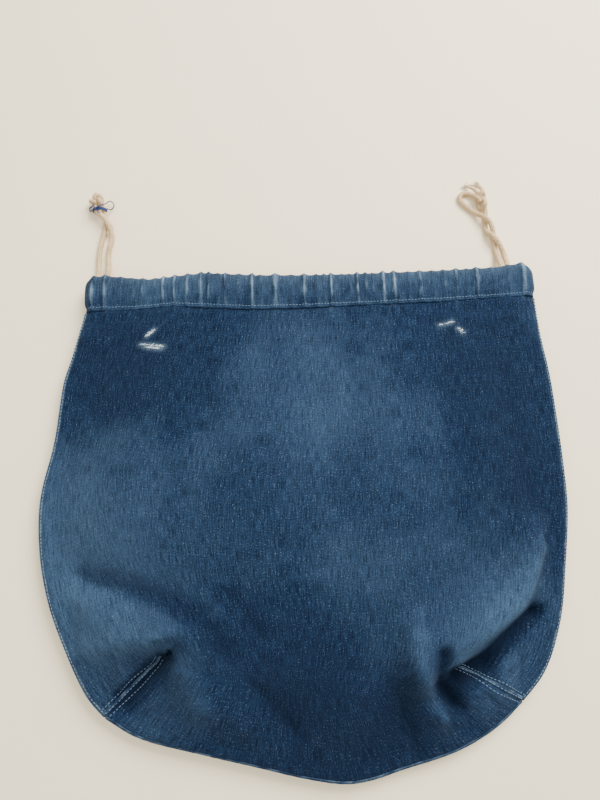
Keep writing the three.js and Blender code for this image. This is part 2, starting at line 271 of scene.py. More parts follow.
def vertex_places(mesh: bpy.types.Mesh) -> np.ndarray:
    """Return a mesh's vertices, one row each."""
    places = np.zeros(len(mesh.vertices) * 3)
    mesh.vertices.foreach_get("co", places)
    return places.reshape(-1, 3)


def vertex_normals(mesh: bpy.types.Mesh) -> np.ndarray:
    """Return the outward direction at each of a mesh's vertices."""
    normals = np.zeros(len(mesh.vertices) * 3)
    mesh.vertex_normals.foreach_get("vector", normals)
    return normals.reshape(-1, 3)


def corner_places(mesh: bpy.types.Mesh) -> tuple[np.ndarray, np.ndarray]:
    """Return each face corner's vertex, and its place on the cut from the UV map in metres."""
    uv = np.zeros(len(mesh.loops) * 2)
    mesh.uv_layers[0].data.foreach_get("uv", uv)
    verts = np.zeros(len(mesh.loops), int)
    mesh.loops.foreach_get("vertex_index", verts)
    return verts, uv.reshape(-1, 2)


def cut_places(mesh: bpy.types.Mesh) -> np.ndarray:
    """Return where each vertex lies on the cut, in metres."""
    verts, places = corner_places(mesh)
    cut = np.zeros((len(mesh.vertices), 2))
    cut[verts] = places
    return cut


# Finishes ----------------------------------------------------------------------------------------


class Slot(Enum):
    """The record's material slots."""

    DENIM = "denim"
    CORD = "cotton_cord"
    STITCH = "sewing_thread"
    TIE = "tie_thread"


class NodeSheet:
    """A material's node tree with short calls for adding and joining nodes."""

    def __init__(self, name: str) -> None:
        """Start a material with a principled shader and nothing joined to it."""
        self.material = bpy.data.materials.new(name)
        self.material.use_nodes = True
        self.tree = self.material.node_tree
        self.shader = self.tree.nodes["Principled BSDF"]

    def add(self, kind: str, inputs: dict | None = None, **settings: object) -> bpy.types.Node:
        """Add a node.

        Args:
            kind: The node's type name.
            inputs: Values or sockets for its inputs, by name or place.
            settings: The node's own settings.

        Returns:
            The node.
        """
        node = self.tree.nodes.new(kind)
        for key, value in settings.items():
            setattr(node, key, value)
        for key, value in (inputs or {}).items():
            if isinstance(value, bpy.types.NodeSocket):
                self.tree.links.new(value, node.inputs[key])
            else:
                node.inputs[key].default_value = value
        return node

    def math(self, operation: str, a: object, b: object = 0.0, clamp: bool = False) -> bpy.types.NodeSocket:
        """Return the result of one sum on two values or sockets."""
        node = self.add("ShaderNodeMath", {0: a, 1: b}, operation=operation, use_clamp=clamp)
        return node.outputs[0]

    def mix(self, share: object, a: object, b: object, blend: str = "MIX") -> bpy.types.NodeSocket:
        """Return two colours mixed."""
        node = self.add("ShaderNodeMix", None, data_type="RGBA", blend_type=blend)
        for socket, value in ((node.inputs[0], share), (node.inputs[6], a), (node.inputs[7], b)):
            if isinstance(value, bpy.types.NodeSocket):
                self.tree.links.new(value, socket)
            else:
                socket.default_value = value
        return node.outputs[2]

    def stretch(self, vector: bpy.types.NodeSocket, scale: Point, turn: float = 0.0) -> bpy.types.NodeSocket:
        """Return a vector turned about Z and scaled."""
        node = self.add("ShaderNodeMapping", {0: vector})
        node.inputs["Rotation"].default_value = (0, 0, turn)
        node.inputs["Scale"].default_value = scale
        return node.outputs[0]

    def noise(self, vector: bpy.types.NodeSocket, scale: float, detail: float = 2.0) -> bpy.types.NodeSocket:
        """Return a cloudy value from 0 to 1."""
        node = self.add("ShaderNodeTexNoise", {"Vector": vector, "Scale": scale, "Detail": detail})
        return node.outputs[0]

    def ramp(self, value: bpy.types.NodeSocket, low: float, high: float) -> bpy.types.NodeSocket:
        """Return value spread so that low becomes 0 and high becomes 1."""
        node = self.add("ShaderNodeMapRange", {0: value, 1: low, 2: high})
        return node.outputs[0]

    def attribute(self, name: str) -> bpy.types.NodeSocket:
        """Return the value that each vertex stores under a name."""
        return self.add("ShaderNodeAttribute", None, attribute_name=name).outputs["Fac"]

    def join(self, socket: str, value: bpy.types.NodeSocket) -> None:
        """Join a value to one of the shader's inputs."""
        self.tree.links.new(value, self.shader.inputs[socket])

    def bump(self, height: bpy.types.NodeSocket, distance: float, strength: float = 1.0) -> None:
        """Raise the surface by a height pattern."""
        node = self.add("ShaderNodeBump", {"Height": height, "Distance": distance, "Strength": strength})
        self.join("Normal", node.outputs[0])


Colour = tuple[float, float, float, float]


@dataclass(frozen=True)
class Denim:
    """Indigo twill, worn paler on edges and in patches, with painted highlight on crease crests and painted
    shade in hollows read from each vertex. Its pattern follows the cloth as it was cut.
    """

    name: str = "faded_denim"
    dark: Colour = (0.0030, 0.0070, 0.0195, 1)
    blue: Colour = (0.0105, 0.0275, 0.0660, 1)
    faded: Colour = (0.0400, 0.0780, 0.1360, 1)
    weft: Colour = (0.15, 0.21, 0.28, 1)
    worn: Colour = (0.20, 0.29, 0.38, 1)
    yarn: float = 760.0
    twill: float = 520.0

    def material(self) -> bpy.types.Material:
        """Return the finish as a material."""
        sheet = NodeSheet(self.name)
        cloth = sheet.add("ShaderNodeUVMap").outputs[0]
        place = sheet.add("ShaderNodeTexCoord").outputs["Object"]
        streak = sheet.noise(sheet.stretch(cloth, (1, 0.08, 1)), self.yarn * 1.2, 3)
        cross = sheet.noise(sheet.stretch(cloth, (0.12, 1, 1)), self.yarn * 0.7, 2)
        grain = sheet.noise(cloth, self.yarn, 2)
        cloud = sheet.noise(place, 9.0, 4)
        patch = sheet.noise(sheet.stretch(place, (1, 0.35, 1)), 26.0, 3)
        heather = sheet.math("ADD", sheet.math("MULTIPLY", streak, 0.64), sheet.math("MULTIPLY", grain, 0.50))
        heather = sheet.math("ADD", heather, sheet.math("MULTIPLY", cross, 0.18))
        level = sheet.ramp(heather, 0.54, 0.78)
        base = sheet.mix(level, self.dark, self.blue)
        patchy = sheet.math("MULTIPLY", sheet.ramp(patch, 0.45, 0.8), 0.5)
        fade = sheet.math("ADD", sheet.ramp(cloud, 0.46, 0.72), patchy)
        # The vertex value adds pale fade and, on the front panel, painted highlight along crease crests.
        fade = sheet.math("ADD", sheet.math("MULTIPLY", fade, 0.42), sheet.attribute("fade"), clamp=True)
        base = sheet.mix(sheet.math("MULTIPLY", fade, sheet.ramp(heather, 0.38, 0.72)), base, self.faded)
        fleck = sheet.ramp(sheet.math("ADD", grain, sheet.math("MULTIPLY", streak, 0.35)), 0.80, 0.95)
        base = sheet.mix(sheet.math("MULTIPLY", fleck, 0.55), base, self.weft)
        # Negative vertex values mix towards dark. This gives painted shade in crease hollows and over the lower
        # middle, and some plain darker patches.
        deep = sheet.math("MULTIPLY", sheet.attribute("fade"), -0.85, clamp=True)
        base = sheet.mix(deep, base, self.dark)
        wear = sheet.math("MULTIPLY", sheet.attribute("wear"), sheet.ramp(heather, 0.35, 0.72), clamp=True)
        base = sheet.mix(wear, base, self.worn)
        sheet.join("Base Color", base)
        slope = sheet.stretch(cloth, (1, 1, 1), math.radians(-63))
        twill = sheet.add("ShaderNodeTexWave", {"Vector": slope, "Scale": self.twill, "Distortion": 1.5})
        relief = sheet.math("ADD", sheet.math("MULTIPLY", twill.outputs[1], 0.35), heather)
        sheet.bump(relief, 0.0005, 0.85)
        sheet.shader.inputs["Roughness"].default_value = 0.95
        sheet.shader.inputs["Specular IOR Level"].default_value = 0.06
        sheet.shader.inputs["Sheen Weight"].default_value = 0.05
        sheet.shader.inputs["Sheen Tint"].default_value = (0.35, 0.60, 1.0, 1)
        sheet.shader.inputs["Sheen Roughness"].default_value = 0.5
        return sheet.material


@dataclass(frozen=True)
class Yarn:
    """A spun cotton yarn, cord or thread, whose fibres run round it in a slant."""

    name: str
    colour: Colour
    shade: Colour
    fibre: float = 1400.0
    slant: float = 55.0
    relief: float = 0.0003

    def material(self) -> bpy.types.Material:
        """Return the finish as a material."""
        sheet = NodeSheet(self.name)
        wound = sheet.add("ShaderNodeUVMap").outputs[0]
        place = sheet.add("ShaderNodeTexCoord").outputs["Object"]
        fibres = sheet.noise(sheet.stretch(wound, (1, 0.12, 1), math.radians(self.slant)), self.fibre, 3)
        soil = sheet.noise(place, 60.0, 3)
        share = sheet.math("ADD", sheet.math("MULTIPLY", fibres, 0.7), sheet.math("MULTIPLY", soil, 0.45))
        sheet.join("Base Color", sheet.mix(sheet.ramp(share, 0.38, 0.72), self.shade, self.colour))
        sheet.bump(fibres, self.relief, 0.8)
        sheet.shader.inputs["Roughness"].default_value = 0.85
        sheet.shader.inputs["Specular IOR Level"].default_value = 0.25
        sheet.shader.inputs["Sheen Weight"].default_value = 0.15
        return sheet.material


@dataclass(frozen=True)
class TableTop:
    """A pale warm laminate."""

    colour: Colour = (0.92, 0.80, 0.58, 1)

    def material(self) -> bpy.types.Material:
        """Return the finish as a material."""
        sheet = NodeSheet("pale_table")
        place = sheet.add("ShaderNodeTexCoord").outputs["Object"]
        cloud = sheet.ramp(sheet.noise(place, 3.0, 2), 0.3, 0.7)
        lighter = tuple(min(1.0, 1.03 * part) for part in self.colour[:3]) + (1,)
        sheet.join("Base Color", sheet.mix(cloud, self.colour, lighter))
        sheet.shader.inputs["Roughness"].default_value = 0.6
        sheet.shader.inputs["Specular IOR Level"].default_value = 0.25
        return sheet.material


@dataclass
class Finishes:
    """The materials, made once."""

    denim: bpy.types.Material = field(default_factory=lambda: Denim().material())
    cord: bpy.types.Material = field(default_factory=lambda: Yarn(
        "unbleached_cotton", (0.66, 0.50, 0.29, 1), (0.36, 0.24, 0.12, 1)).material())
    fray: bpy.types.Material = field(default_factory=lambda: Yarn(
        "cotton_fray", (0.70, 0.56, 0.36, 1), (0.42, 0.30, 0.17, 1)).material())
    stitch: bpy.types.Material = field(default_factory=lambda: Yarn(
        "pale_stitch", (0.20, 0.29, 0.39, 1), (0.07, 0.12, 0.20, 1)).material())
    tear: bpy.types.Material = field(default_factory=lambda: Yarn(
        "torn_weft", (0.62, 0.68, 0.70, 1), (0.35, 0.43, 0.50, 1)).material())
    tie: bpy.types.Material = field(default_factory=lambda: Yarn(
        "navy_thread", (0.022, 0.045, 0.16, 1), (0.008, 0.016, 0.07, 1)).material())


# The sack's outline ------------------------------------------------------------------------------


TURN_RADIUS = 0.0081
TURN_OUTSIDE = 0.0122


def casing_run() -> tuple[float, float]:
    """Return the X of the casing's middle, and half the length of its straight part."""
    low, high = node_box("front_casing")
    return (low.x + high.x) / 2, (high.x - low.x) / 2 - TURN_OUTSIDE


@dataclass(frozen=True)
class Outline:
    """The edge of the lying sack in plan, and the heights along it. The casing's place comes from the frame."""

    rim: float = 0.0122
    base_half: float = 0.187
    base_y: float = -0.180
    left_points: tuple = ((-0.203, -0.163), (-0.228, -0.117), (-0.243, -0.082), (-0.2535, -0.042),
                          (-0.2580, 0.0), (-0.2565, 0.025), (-0.2480, 0.069), (-0.2420, 0.135),
                          (-0.2375, 0.151), (-0.2290, 0.187))
    right_points: tuple = ((0.210, -0.156), (0.230, -0.114), (0.243, -0.061), (0.2525, -0.010),
                           (0.2545, 0.030), (0.2550, 0.080), (0.2540, 0.128), (0.2505, 0.170))
    base_points: tuple = ((-0.157, -0.1970), (-0.098, -0.2130), (-0.049, -0.2250), (-0.008, -0.2350),
                          (0.027, -0.2402), (0.052, -0.2370), (0.072, -0.2315), (0.126, -0.2175),
                          (0.164, -0.1985))
    stitch_wave: tuple = ((-0.226, 0.004), (-0.177, 0.003), (-0.131, 0.006), (-0.052, -0.0005), (0.0, -0.001),
                          (0.089, 0.0), (0.151, 0.001), (0.195, 0.0025), (0.252, 0.005))
    left_vertex: Point = (-0.1300, -0.1270, 0.021)
    right_vertex: Point = (0.1260, -0.1460, 0.021)
    shoulder_points: tuple = ((-0.070, -0.149, 0.033), (0.0, -0.162, 0.034), (0.065, -0.164, 0.033))

    @property
    def neck_ends(self) -> tuple[float, float]:
        """Return the X of the front panel's two upper corners."""
        inset = 0.0026
        low, high = node_box("front_casing")
        return low.x + inset, high.x - inset

    def neck_y(self, x: np.ndarray) -> np.ndarray:
        """Return how far up the panels reach under the casings at an X."""
        return node_box("front_casing")[0].y + np.interp(x, *np.array(self.stitch_wave).T) + 0.002

    def neck(self) -> np.ndarray:
        """Return the panels' upper edge, under the casings, from left to right."""
        x = np.linspace(*self.neck_ends, 120)
        return np.stack([x, self.neck_y(x), np.full(120, self.rim)], axis=1)

    def _edge(self, start: Point, points: Sequence[Sequence[float]], end: Point) -> np.ndarray:
        """Return a smooth edge at the rim's height from start to end."""
        lifted = [start, *[(x, y, self.rim) for x, y in points], end]
        return curve_through(lifted, 0.004)

    def foot(self, side: int) -> Point:
        """Return the outer end of a corner seam; side is -1 at the left and 1 at the right."""
        return (side * self.base_half, self.base_y, self.rim)

    def side(self, side: int) -> np.ndarray:
        """Return a side edge from the corner seam up to the casing."""
        end = tuple(self.neck()[0 if side < 0 else -1])
        return self._edge(self.foot(side), self.left_points if side < 0 else self.right_points, end)

    def base(self) -> np.ndarray:
        """Return the bottom edge from the left corner seam to the right one."""
        return self._edge(self.foot(-1), self.base_points, self.foot(1))

    def vertex(self, side: int) -> Point:
        """Return the inner end of a corner seam."""
        return self.left_vertex if side < 0 else self.right_vertex

    def shoulder(self) -> np.ndarray:
        """Return the soft edge between the corner seams' inner ends."""
        return curve_through([self.left_vertex, *self.shoulder_points, self.right_vertex], 0.004)

    def neck_height(self, x: np.ndarray) -> np.ndarray:
        """Return how far a casing's neck stands from the rim's height at an X."""
        middle, straight = casing_run()
        past = np.clip((np.abs(np.asarray(x) - middle) - straight) / TURN_RADIUS, 0, 1)
        return TURN_RADIUS * np.sqrt(1 - past**2)

    def ring(self) -> np.ndarray:
        """Return the outline in plan, from one end of the mouth round to the other."""
        left, right, base = self.side(-1), self.side(1), self.base()
        return np.vstack([left[::-1], base, right])[:, :2]


def gap_to(line: np.ndarray, places: np.ndarray) -> tuple[np.ndarray, np.ndarray]:
    """Measure how far places are from a line in plan.

    Args:
        line: The line's points.
        places: The places, one row each.

    Returns:
        Each place's distance, and the nearest point's index.
    """
    nearest = np.full(len(places), 1e9)
    index = np.zeros(len(places), int)
    for number, point in enumerate(line[:, :2]):
        away = np.hypot(places[:, 0] - point[0], places[:, 1] - point[1])
        closer = away < nearest
        nearest[closer] = away[closer]
        index[closer] = number
    return nearest, index


@dataclass(frozen=True)
class Fold:
    """A swelling, or a hollow where height is negative, along a line in plan. Each flank has its own width."""

    line: tuple
    height: float
    left_width: float
    right_width: float

    def lift(self, places: np.ndarray) -> np.ndarray:
        """Return how much the fold raises the cloth at each place."""
        line = curve_through(self.line, 0.003)
        away, index = gap_to(line, places)
        tangents = np.gradient(line, axis=0)
        offset = places[:, :2] - line[index]
        on_left = tangents[index, 0] * offset[:, 1] - tangents[index, 1] * offset[:, 0] > 0
        width = np.where(on_left, self.left_width, self.right_width)
        return self.height * np.exp(-((away / width) ** 2))


@dataclass(frozen=True)
class Bulk:
    """What the front panel lies on: the air and the rumpled back panel inside the sack."""

    outline: Outline
    folds: tuple = (
        Fold(((-0.200, -0.095), (-0.165, -0.105), (-0.120, -0.110)), 0.010, 0.030, 0.030),
        Fold(((-0.112, -0.118), (-0.095, -0.150), (-0.070, -0.190)), 0.009, 0.022, 0.030),
        Fold(((-0.215, -0.062), (-0.154, -0.078), (-0.100, -0.100), (-0.074, -0.132)), -0.008, 0.018, 0.012),
        Fold(((-0.152, -0.133), (-0.133, -0.124), (-0.118, -0.122)), -0.020, 0.010, 0.012),
        Fold(((0.104, -0.150), (0.122, -0.134), (0.152, -0.116), (0.190, -0.092), (0.214, -0.050)),
             0.013, 0.026, 0.012),
        Fold(((0.086, -0.132), (0.094, -0.160), (0.110, -0.190)), 0.010, 0.022, 0.011),
        Fold(((0.108, -0.172), (0.120, -0.158), (0.130, -0.148), (0.150, -0.150)), -0.018, 0.012, 0.012),
        Fold(((0.150, -0.178), (0.176, -0.158)), 0.006, 0.020, 0.020),
        Fold(((0.056, -0.150), (0.080, -0.205)), -0.006, 0.016, 0.012),
        Fold(((-0.046, -0.160), (-0.022, -0.190)), -0.005, 0.014, 0.012),
        Fold(((-0.069, -0.080), (-0.052, -0.108)), -0.004, 0.014, 0.016),
        Fold(((-0.050, 0.120), (-0.040, 0.0)), 0.004, 0.05, 0.05),
        Fold(((0.090, 0.130), (0.100, -0.030)), 0.004, 0.05, 0.06),
        Fold(((-0.150, 0.090), (-0.165, -0.020)), 0.004, 0.045, 0.05),
        Fold(((0.020, 0.100), (0.035, -0.050)), -0.003, 0.04, 0.04),
    )

    def height(self, places: np.ndarray) -> np.ndarray:
        """Return the height of the form under the front panel at places in plan."""
        edge, _ = gap_to(self.outline.ring(), places)
        towards_mouth = smooth_share((places[:, 1] + 0.05) / 0.25)
        rise = 0.020 * (1 - towards_mouth) + 0.0065 * towards_mouth
        slack = smooth_share(edge / 0.045)
        folds = sum(fold.lift(places) for fold in self.folds)
        height = self.outline.rim + rise * smooth_share(edge / 0.085) + folds * slack
        towards_neck = smooth_share((places[:, 1] - 0.135) / 0.05)
        round_side = np.sqrt(1 - (1 - np.clip(edge / 0.013, 0, 1)) ** 2)
        return np.maximum(height, self.outline.rim + 0.0072 * round_side * towards_neck)


CREASES = (
    Fold(((-0.172, -0.163), (-0.152, -0.146), (-0.134, -0.131)), -0.0190, 0.0055, 0.012),
    Fold(((-0.200, -0.124), (-0.172, -0.116), (-0.142, -0.114)), 0.0085, 0.018, 0.0095),
    Fold(((-0.128, -0.122), (-0.112, -0.140), (-0.100, -0.172)), 0.0060, 0.012, 0.013),
    Fold(((-0.209, -0.062), (-0.154, -0.079), (-0.105, -0.102), (-0.084, -0.128)), -0.0058, 0.012, 0.0055),
    Fold(((0.216, -0.048), (0.190, -0.094), (0.152, -0.121), (0.128, -0.140)), 0.0100, 0.0055, 0.024),
    Fold(((0.205, -0.104), (0.166, -0.132), (0.140, -0.152), (0.128, -0.156)), -0.0145, 0.0085, 0.0060),
    Fold(((0.096, -0.120), (0.090, -0.140), (0.097, -0.162), (0.112, -0.186)), 0.0080, 0.0060, 0.018),
    Fold(((0.112, -0.136), (0.110, -0.152), (0.122, -0.178)), -0.0125, 0.0075, 0.0065),
    Fold(((0.077, -0.160), (0.081, -0.190), (0.087, -0.216)), -0.0045, 0.0110, 0.0055),
    Fold(((0.150, -0.186), (0.172, -0.170)), 0.0040, 0.013, 0.013),
    Fold(((-0.046, -0.162), (-0.032, -0.180), (-0.020, -0.190)), -0.0036, 0.0060, 0.014),
    Fold(((-0.072, -0.080), (-0.058, -0.098), (-0.048, -0.110)), -0.0028, 0.0070, 0.014),
    Fold(((-0.120, -0.196), (-0.080, -0.180), (-0.040, -0.205)), 0.0035, 0.020, 0.020),
    Fold(((0.010, -0.210), (0.040, -0.175), (0.055, -0.140)), 0.0035, 0.022, 0.018),
    Fold(((0.206, 0.120), (0.214, 0.020), (0.222, -0.030)), -0.0018, 0.010, 0.014),
    Fold(((-0.100, 0.190), (-0.096, 0.080)), -0.0012, 0.012, 0.012),
    Fold(((0.052, 0.190), (0.060, 0.060)), -0.0012, 0.012, 0.012),
    Fold(((0.150, 0.160), (0.156, 0.040)), -0.0012, 0.013, 0.013),
)


@dataclass(frozen=True)
class Gathers:
    """The pleats that the drawn cords leave round the mouth, as shares of its width."""

    seed: int = 11
    mean: float = 0.0250

    @cached_property
    def heights(self) -> np.ndarray:
        """Return how high each crest stands, from 0 to 1."""
        draw = random.Random(self.seed + 1)
        return np.array([draw.uniform(0.35, 1.0) for _ in self.ridges])

    @cached_property
    def ridges(self) -> np.ndarray:
        """Return where the pleats' crests stand, from 0 at the left to 1 at the right."""
        draw = random.Random(self.seed)
        places = [0.0]
        while places[-1] < 1.0:
            places.append(places[-1] + self.mean * draw.uniform(0.55, 1.45))
        return np.array(places) / places[-1]

    def relief(self, shares: np.ndarray) -> np.ndarray:
        """Return the pleats' height at shares of the mouth's width, from 0 in a hollow to 1 on a crest."""
        ridges, heights = self.ridges, self.heights
        span = np.clip(np.searchsorted(ridges, shares, side="right") - 1, 0, len(ridges) - 2)
        start, end = ridges[span], ridges[span + 1]
        within = np.clip((shares - start) / (end - start), 0, 1)
        crest = np.abs(2 * within - 1) ** 1.6
        return crest * np.where(within < 0.5, heights[span], heights[span + 1])


LEFT_TEAR = (((-0.1640, 0.1688), (-0.1520, 0.1672), (-0.1390, 0.1645)),
             ((-0.1590, 0.1655), (-0.1500, 0.1640), (-0.1430, 0.1625)),
             ((-0.1575, 0.1775), (-0.1540, 0.1810), (-0.1500, 0.1840)))
RIGHT_TEAR = (((0.1450, 0.1785), (0.1520, 0.1795), (0.1590, 0.1815)),
              ((0.1640, 0.1742), (0.1665, 0.1718), (0.1690, 0.1690)))


# The front panel ---------------------------------------------------------------------------------


class Surface:
    """The finished front panel as a grid over its cut, so that what is sewn on it can find its place."""

    def __init__(self, mesh: bpy.types.Mesh, cell: float, columns: int, rows: int) -> None:
        """Read a mesh whose UV map is its cut in metres.

        Args:
            mesh: The panel's mesh.
            cell: The distance between grid points on the cut.
            columns: Grid cells across.
            rows: Grid cells along.
        """
        self.cell = cell
        self.place = np.full((columns + 1, rows + 1, 3), np.nan)
        self.normal = np.full((columns + 1, rows + 1, 3), np.nan)
        verts, cut = corner_places(mesh)
        index = np.rint(cut / cell).astype(int)
        self.place[index[:, 0], index[:, 1]] = vertex_places(mesh)[verts]
        self.normal[index[:, 0], index[:, 1]] = vertex_normals(mesh)[verts]

    def at(self, u: float, v: float) -> tuple[np.ndarray, np.ndarray]:
        """Return the point and the outward direction at (u, v) metres on the cut."""
        a, b = u / self.cell, v / self.cell
        i = min(int(a), self.place.shape[0] - 2)
        j = min(int(b), self.place.shape[1] - 2)
        right, up = a - i, b - j
        weights = np.array([(1 - right) * (1 - up), right * (1 - up), (1 - right) * up, right * up])
        cells = [(i, j), (i + 1, j), (i, j + 1), (i + 1, j + 1)]
        known = [k for k, cell in enumerate(cells) if not np.isnan(self.place[cell][0])]
        share = weights[known] / max(weights[known].sum(), 1e-9)
        point = sum(w * self.place[cells[k]] for w, k in zip(share, known))
        normal = sum(w * self.normal[cells[k]] for w, k in zip(share, known))
        return point, normal / max(np.linalg.norm(normal), 1e-9)

    def near(self, x: float, y: float) -> tuple[float, float]:
        """Return the place on the cut that lies under a place in plan."""
        away = np.hypot(self.place[..., 0] - x, self.place[..., 1] - y)
        i, j = np.unravel_index(np.nanargmin(away), away.shape)
        return i * self.cell, j * self.cell


@dataclass(frozen=True)
class ClothFall:
    """How the front panel behaves while it falls."""

    quality: int = 7
    mass: float = 0.12
    tension: float = 40.0
    shear: float = 20.0
    bending: float = 1.2
    damping: float = 12.0
    air: float = 2.0
    gap: float = 0.0012
    friction: float = 12.0

    def apply(self, cloth: bpy.types.ClothModifier) -> None:
        """Set a Cloth modifier to behave so."""
        settings = cloth.settings
        settings.quality = self.quality
        settings.mass = self.mass
        settings.tension_stiffness = settings.compression_stiffness = self.tension
        settings.shear_stiffness = self.shear
        settings.bending_stiffness = self.bending
        settings.tension_damping = settings.compression_damping = self.damping
        settings.air_damping = self.air
        cloth.collision_settings.collision_quality = 3
        cloth.collision_settings.distance_min = self.gap


@dataclass
class FrontPanel:
    """The panel on top: cut flat with a square out of each bottom corner, sewn, and let fall on its bulk."""

    outline: Outline
    gathers: Gathers
    finish: bpy.types.Material
    cell: float = 0.00585
    across: int = 88
    up: int = 78
    notch: int = 12
    cloth: float = 0.001
    frames: int = 34
    fall: ClothFall = ClothFall()
    pleat_height: float = 0.0016
    pleat_reach: float = 0.016

    @property
    def width(self) -> float:
        """Return the cut's width."""
        return self.cell * self.across

    @property
    def height(self) -> float:
        """Return the cut's height."""
        return self.cell * self.up

    def lying_places(self) -> dict[tuple[int, int], np.ndarray]:
        """Return where each grid point of the cut lies before the cloth falls."""
        left, right, base = self.outline.side(-1), self.outline.side(1), self.outline.base()
        shoulder = self.outline.shoulder()
        seams = {side: np.linspace(self.outline.foot(side), self.outline.vertex(side), 13) for side in (-1, 1)}
        neck = self.outline.neck()
        inner = self.across - 2 * self.notch
        fold = np.vstack([
            points_at(seams[-1], np.arange(self.notch) / self.notch),
            points_at(shoulder, np.arange(inner + 1) / inner),
            points_at(seams[1], np.arange(self.notch - 1, -1, -1) / self.notch),
        ])
        upper = filled_patch(
            fold,
            points_at(neck, np.arange(self.across + 1) / self.across),
            points_at(left, np.arange(self.up - self.notch + 1) / (self.up - self.notch)),
            points_at(right, np.arange(self.up - self.notch + 1) / (self.up - self.notch)),
        )
        lower = filled_patch(
            points_at(base, np.arange(inner + 1) / inner),
            fold[self.notch:self.across - self.notch + 1],
            points_at(seams[-1], np.arange(self.notch + 1) / self.notch),
            points_at(seams[1], np.arange(self.notch + 1) / self.notch),
        )
        places = {(i, j + self.notch): row for i, column in enumerate(upper) for j, row in enumerate(column)}
        for i, column in enumerate(lower):
            for j in range(self.notch):
                places[i + self.notch, j] = column[j]
        return places

    def sewn_place(self, i: int, j: int) -> np.ndarray:
        """Return where a grid point is when the sack stands open, unstretched, as a wedge over its base."""
        u, v = i * self.cell, j * self.cell
        depth = self.notch * self.cell
        half = self.width / 2
        if j < self.notch:
            return np.array([u - half, 0.0, v])
        t = (v - depth) / (self.height - depth)
        reach = depth * (1 - t)
        slope = math.sqrt(1 - (depth / (self.height - depth)) ** 2)
        inward = min(u, self.width - u)
        x = max(abs(u - half) if inward > reach else half - reach, 0.0)
        return np.array([math.copysign(x, u - half), (v - depth) * slope, min(inward, reach)])

    def build(self) -> bpy.types.Object:
        """Return the panel as one sewn sheet, lying over its bulk."""
        places = self.lying_places()
        bulk = Bulk(self.outline)
        keys = list(places)
        heights = bulk.height(np.array([places[key] for key in keys]))
        edge, _ = gap_to(self.outline.ring(), np.array([places[key] for key in keys]))
        lift = dict(zip(keys, heights + 0.004 * smooth_share(edge / 0.03)))
        bm = bmesh.new()
        sewn = bm.verts.layers.float_vector.new("sewn")
        uv = bm.loops.layers.uv.verify()
        made = bmesh.ops.create_grid(bm, x_segments=self.across, y_segments=self.up, size=1.0)["verts"]
        index = {v: (round((v.co.x + 1) / 2 * self.across), round((v.co.y + 1) / 2 * self.up)) for v in made}
        for face in bm.faces:
            for loop in face.loops:
                i, j = index[loop.vert]
                loop[uv].uv = (i * self.cell, j * self.cell)
        bmesh.ops.delete(bm, geom=[v for v in made if index[v] not in places], context="VERTS")
        kept = {v: key for v, key in index.items() if v.is_valid}
        for vert, key in kept.items():
            x, y, z = places[key]
            i, j = key
            on_edge = i in (0, self.across) or j in (0, self.up)
            on_seam = (j < self.notch and i in (self.notch, self.across - self.notch)) or (
                j == self.notch and min(i, self.across - i) <= self.notch)
            if j == self.up:
                z = self.outline.rim + float(self.outline.neck_height(x))
            elif not on_edge:
                z = float(lift[key]) if not on_seam else min(z, float(lift[key]))
            vert.co = (x, y, z)
            vert[sewn] = Vector(self.sewn_place(i, j))
        bmesh.ops.remove_doubles(bm, verts=list(bm.verts), dist=1e-5)
        panel = new_piece("front_panel_cloth", bm, self.finish, Slot.DENIM.value, closed=False)
        return panel

    def drape(self, panel: bpy.types.Object) -> None:
        """Let the sheet fall on the bulk, held along its seams and at the casing.

        Args:
            panel: The sewn sheet, whose mesh becomes the fallen one.
        """
        form = self._form()
        mesh = panel.data
        sewn = np.zeros(len(mesh.vertices) * 3)
        mesh.attributes["sewn"].data.foreach_get("vector", sewn)
        panel.shape_key_add(name="lying")
        cut = panel.shape_key_add(name="cut")
        cut.data.foreach_set("co", sewn)
        cut.value = 0.0
        rim = {v for edge in self._boundary(mesh) for v in edge}
        held = panel.vertex_groups.new(name="held")
        held.add(sorted(rim), 1.0, "REPLACE")
        cloth = panel.modifiers.new("cloth", "CLOTH")
        self.fall.apply(cloth)
        cloth.settings.vertex_group_mass = "held"
        cloth.settings.rest_shape_key = cut
        cloth.point_cache.frame_start = 1
        cloth.point_cache.frame_end = self.frames
        scene = bpy.context.scene
        for number in range(1, self.frames + 1):
            scene.frame_set(number)
        apply_modifiers(panel)
        scene.frame_set(1)
        bpy.data.objects.remove(form)

    def _boundary(self, mesh: bpy.types.Mesh) -> list[tuple[int, int]]:
        """Return the sheet's border edges as pairs of vertices."""
        count: dict[tuple[int, int], int] = {}
        for polygon in mesh.polygons:
            for pair in polygon.edge_keys:
                count[pair] = count.get(pair, 0) + 1
        return [pair for pair, used in count.items() if used == 1]

    def _form(self) -> bpy.types.Object:
        """Return the bulk as a collider."""
        bulk = Bulk(self.outline)
        low, high = node_box("front_panel")
        columns, rows = 110, 100
        grid = [(low.x + (high.x - low.x) * i / columns, low.y + (high.y - low.y) * j / rows)
                for i in range(columns + 1) for j in range(rows + 1)]
        heights = bulk.height(np.array(grid)) - 0.0015
        bm = bmesh.new()

        def place(s: float, t: float) -> Sequence[float]:
            """Return the form's point at a share of the box."""
            number = round(s * columns) * (rows + 1) + round(t * rows)
            return (*grid[number], heights[number])

        bent_grid(bm, columns, rows, place)
        form = new_piece("bulk_form", bm, self.finish, Slot.DENIM.value, closed=False)
        form.modifiers.new("collision", "COLLISION")
        form.collision.thickness_outer = self.fall.gap
        form.collision.cloth_friction = self.fall.friction
        return form

